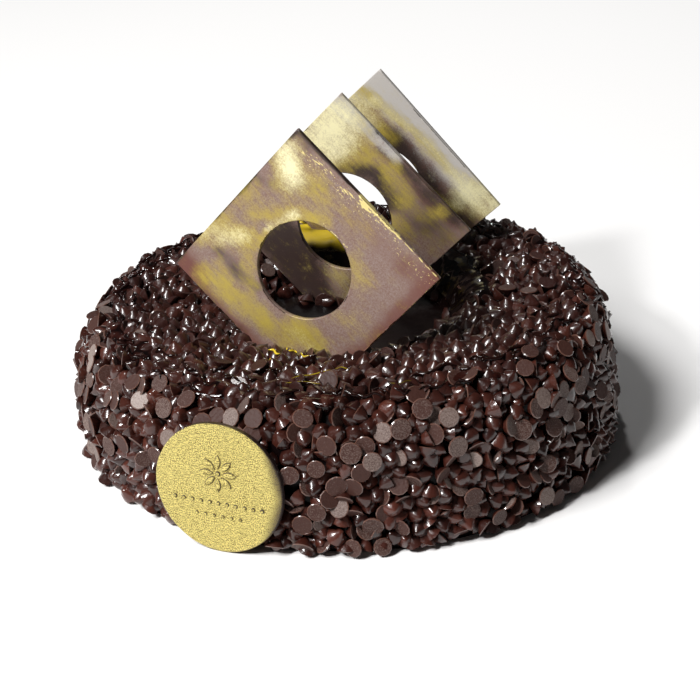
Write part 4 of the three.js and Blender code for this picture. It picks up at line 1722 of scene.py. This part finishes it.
MIDDLE_PULLS: Pulls = {
    Coat.GOLD: (
        (((-16, 34), (1.7, 37.9)), 15, 0.95),
        (((-6.4, 44.9), (-4.3, 28.9)), 11, 0.9),
        (((1.4, 26.7), (9.2, 29.7)), 8, 0.6),
        (((12.4, 27.3), (19.9, 22.8)), 6, 0.55),
        (((19.9, 20.3), (27.4, 9.5)), 7, 0.65),
        (((33.1, 6.1), (40.6, 7.2)), 5, 0.6),
        (((18.9, 2.5), (24.7, -0.3)), 5.5, 0.75),
        (((28.5, -4.5), (43.7, -5.2)), 8, 0.35),
        # Painted light: gold on the lower right, where light falls through the front plaque's hole.
        (((-3, -22), (2, -30)), 9, 0.45),
    ),
    Coat.PALE: (
        (((-14, 36), (0, 40)), 15, 1),
        (((-5, 45), (-4, 30)), 10, 0.9),
    ),
    Coat.SILVER: (
        # Painted light: silver over the same lit patch as the gold, where light falls through the front plaque's
        # hole.
        (((-4, -22), (1, -30)), 10, 0.2),
        (((-2.5, 49), (7.6, 41.5)), 6, 1),
        (((9, 40), (22, 27.5)), 5, 0.6),
    ),
    Coat.DARK: (
        (((22, 12), (34, 4), (46, 0)), 13, 0.45),
        # Painted shade: the lower left is painted dark, twice over, where it lies in shade.
        (((-34, -5), (-22, -14), (-15, -33)), 14, 1),
        (((-34, -5), (-22, -14), (-15, -33)), 12, 0.9),
        (((1.3, 22.3), (13.5, 19.9), (19.1, 10.2)), 6, 0.8),
        (((16.3, 30.1), (37.5, 13.3), (46.9, 3.9)), 4.5, 0.65),
        (((3, 47), (9, 41), (14, 36.5)), 2.6, 1),
        (((-0.4, 52.3), (20, 32)), 0.9, 0.9),
    ),
    Coat.BROWN: (
        (((-10, 42), (-4, 47)), 4, 0.5),
        (((18, 28), (46, 2)), 5, 0.6),
    ),
    Coat.SCRATCH: ((((20, 16), (42, 2)), 9, 0.35),),
}

BACK_PULLS: Pulls = {
    Coat.GOLD: (
        (((-7.8, 43.9), (0.9, 37.6), (14.3, 27.8), (23.7, 18.9), (34.4, 10.8)), 4.2, 0.85),
        (((-13, 38.5), (-4.6, 29.1)), 10, 0.9),
        (((0.9, 25.7), (4.9, 23.5)), 5, 0.8),
        (((38, 2), (46.6, -3.8)), 9, 0.9),
        (((23.9, -0.5), (31.3, -3)), 5, 0.8),
        (((-44, 2), (-18, -24)), 9, 0.6),
        (((40, 5), (50, 0)), 10, 0.9),
    ),
    Coat.PALE: (
        (((38, 4), (50, -1)), 14, 0.9),
        (((-13, 40), (-4.6, 30)), 9, 0.6),
        (((-2, 40), (14.3, 27.8), (34.4, 10.8)), 4, 0.5),
    ),
    Coat.SILVER: (
        (((-18, 34), (-8, 44)), 6, 0.7),
        (((0, 48), (15.6, 34.5), (40, 10)), 13, 1),
        (((-4, 40), (6, 34)), 4, 0.4),
    ),
    # A dark, soft band across the plaque, running beside the middle plaque's edge.
    Coat.DARK: ((((2.2, 25), (14.4, 14), (27.9, -1), (38.8, -11)), 9, 0.8),),
    Coat.BROWN: ((((10, 24), (26, 8), (38, -4)), 7, 0.5),),
}


def make_plaques(finish: GildedChocolate) -> list[GildedPlaque]:
    """The three plaques with what was brushed on them, and the painted shade and light on the middle one."""
    front = Pose((-15.2, -41.9, 84.5), -111.7, 8.0, -3.7)
    middle = Pose((0.1, 21.5, 77.9), -109.5, 4.9, -1.6)
    back = Pose((15.3, 53.0, 78.6), -111.6, 1.1, 0.6)
    front_dust = ((-27, -55, 58, 3.4), (-21, -52, 58, 3), (-14.5, -55, 58, 3.4))
    back_dust = ((-19, 56, 58, 10), (-20, 68, 58, 10), (-10, 56, 58, 10), (-1, 54, 57, 9))
    plaques = []
    for name, pose, hole, pulls, dust in (
        ("plaque_front", front, 37.2, FRONT_PULLS, front_dust),
        ("plaque_middle", middle, 40.3, MIDDLE_PULLS, ()),
        ("plaque_back", back, 39.5, BACK_PULLS, back_dust),
    ):
        smears = {coat: tuple(Smear(*pull) for pull in rows) for coat, rows in pulls.items()}
        plaques.append(GildedPlaque(name, pose, hole, finish, smears, dust))
    return plaques


def main() -> None:
    """Builds every piece."""
    logging.basicConfig(level=logging.INFO, format="%(name)s: %(message)s")
    Studio().build()
    outline = CakeOutline()
    plaques = make_plaques(GildedChocolate())
    medallion = Medallion(GoldDust())
    core = GanacheCore(outline, Ganache("set_ganache", 0.3, 0.12))
    coat = ChipCoat(outline, core, plaques, medallion, BakingChocolate())
    chips = coat.build()
    pieces = [core.build(), *chips, *TopGlaze(coat, Ganache("poured_glaze", 0.07, 0.3)).build(chips[:2])]
    for piece in pieces:
        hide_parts("cake")
    pieces += [plaque.build() for plaque in plaques]
    pieces.append(medallion.build())
    for piece in pieces:
        log.info("%s: %d faces", piece.name, len(piece.data.polygons))


if __name__ == "__main__":
    main()
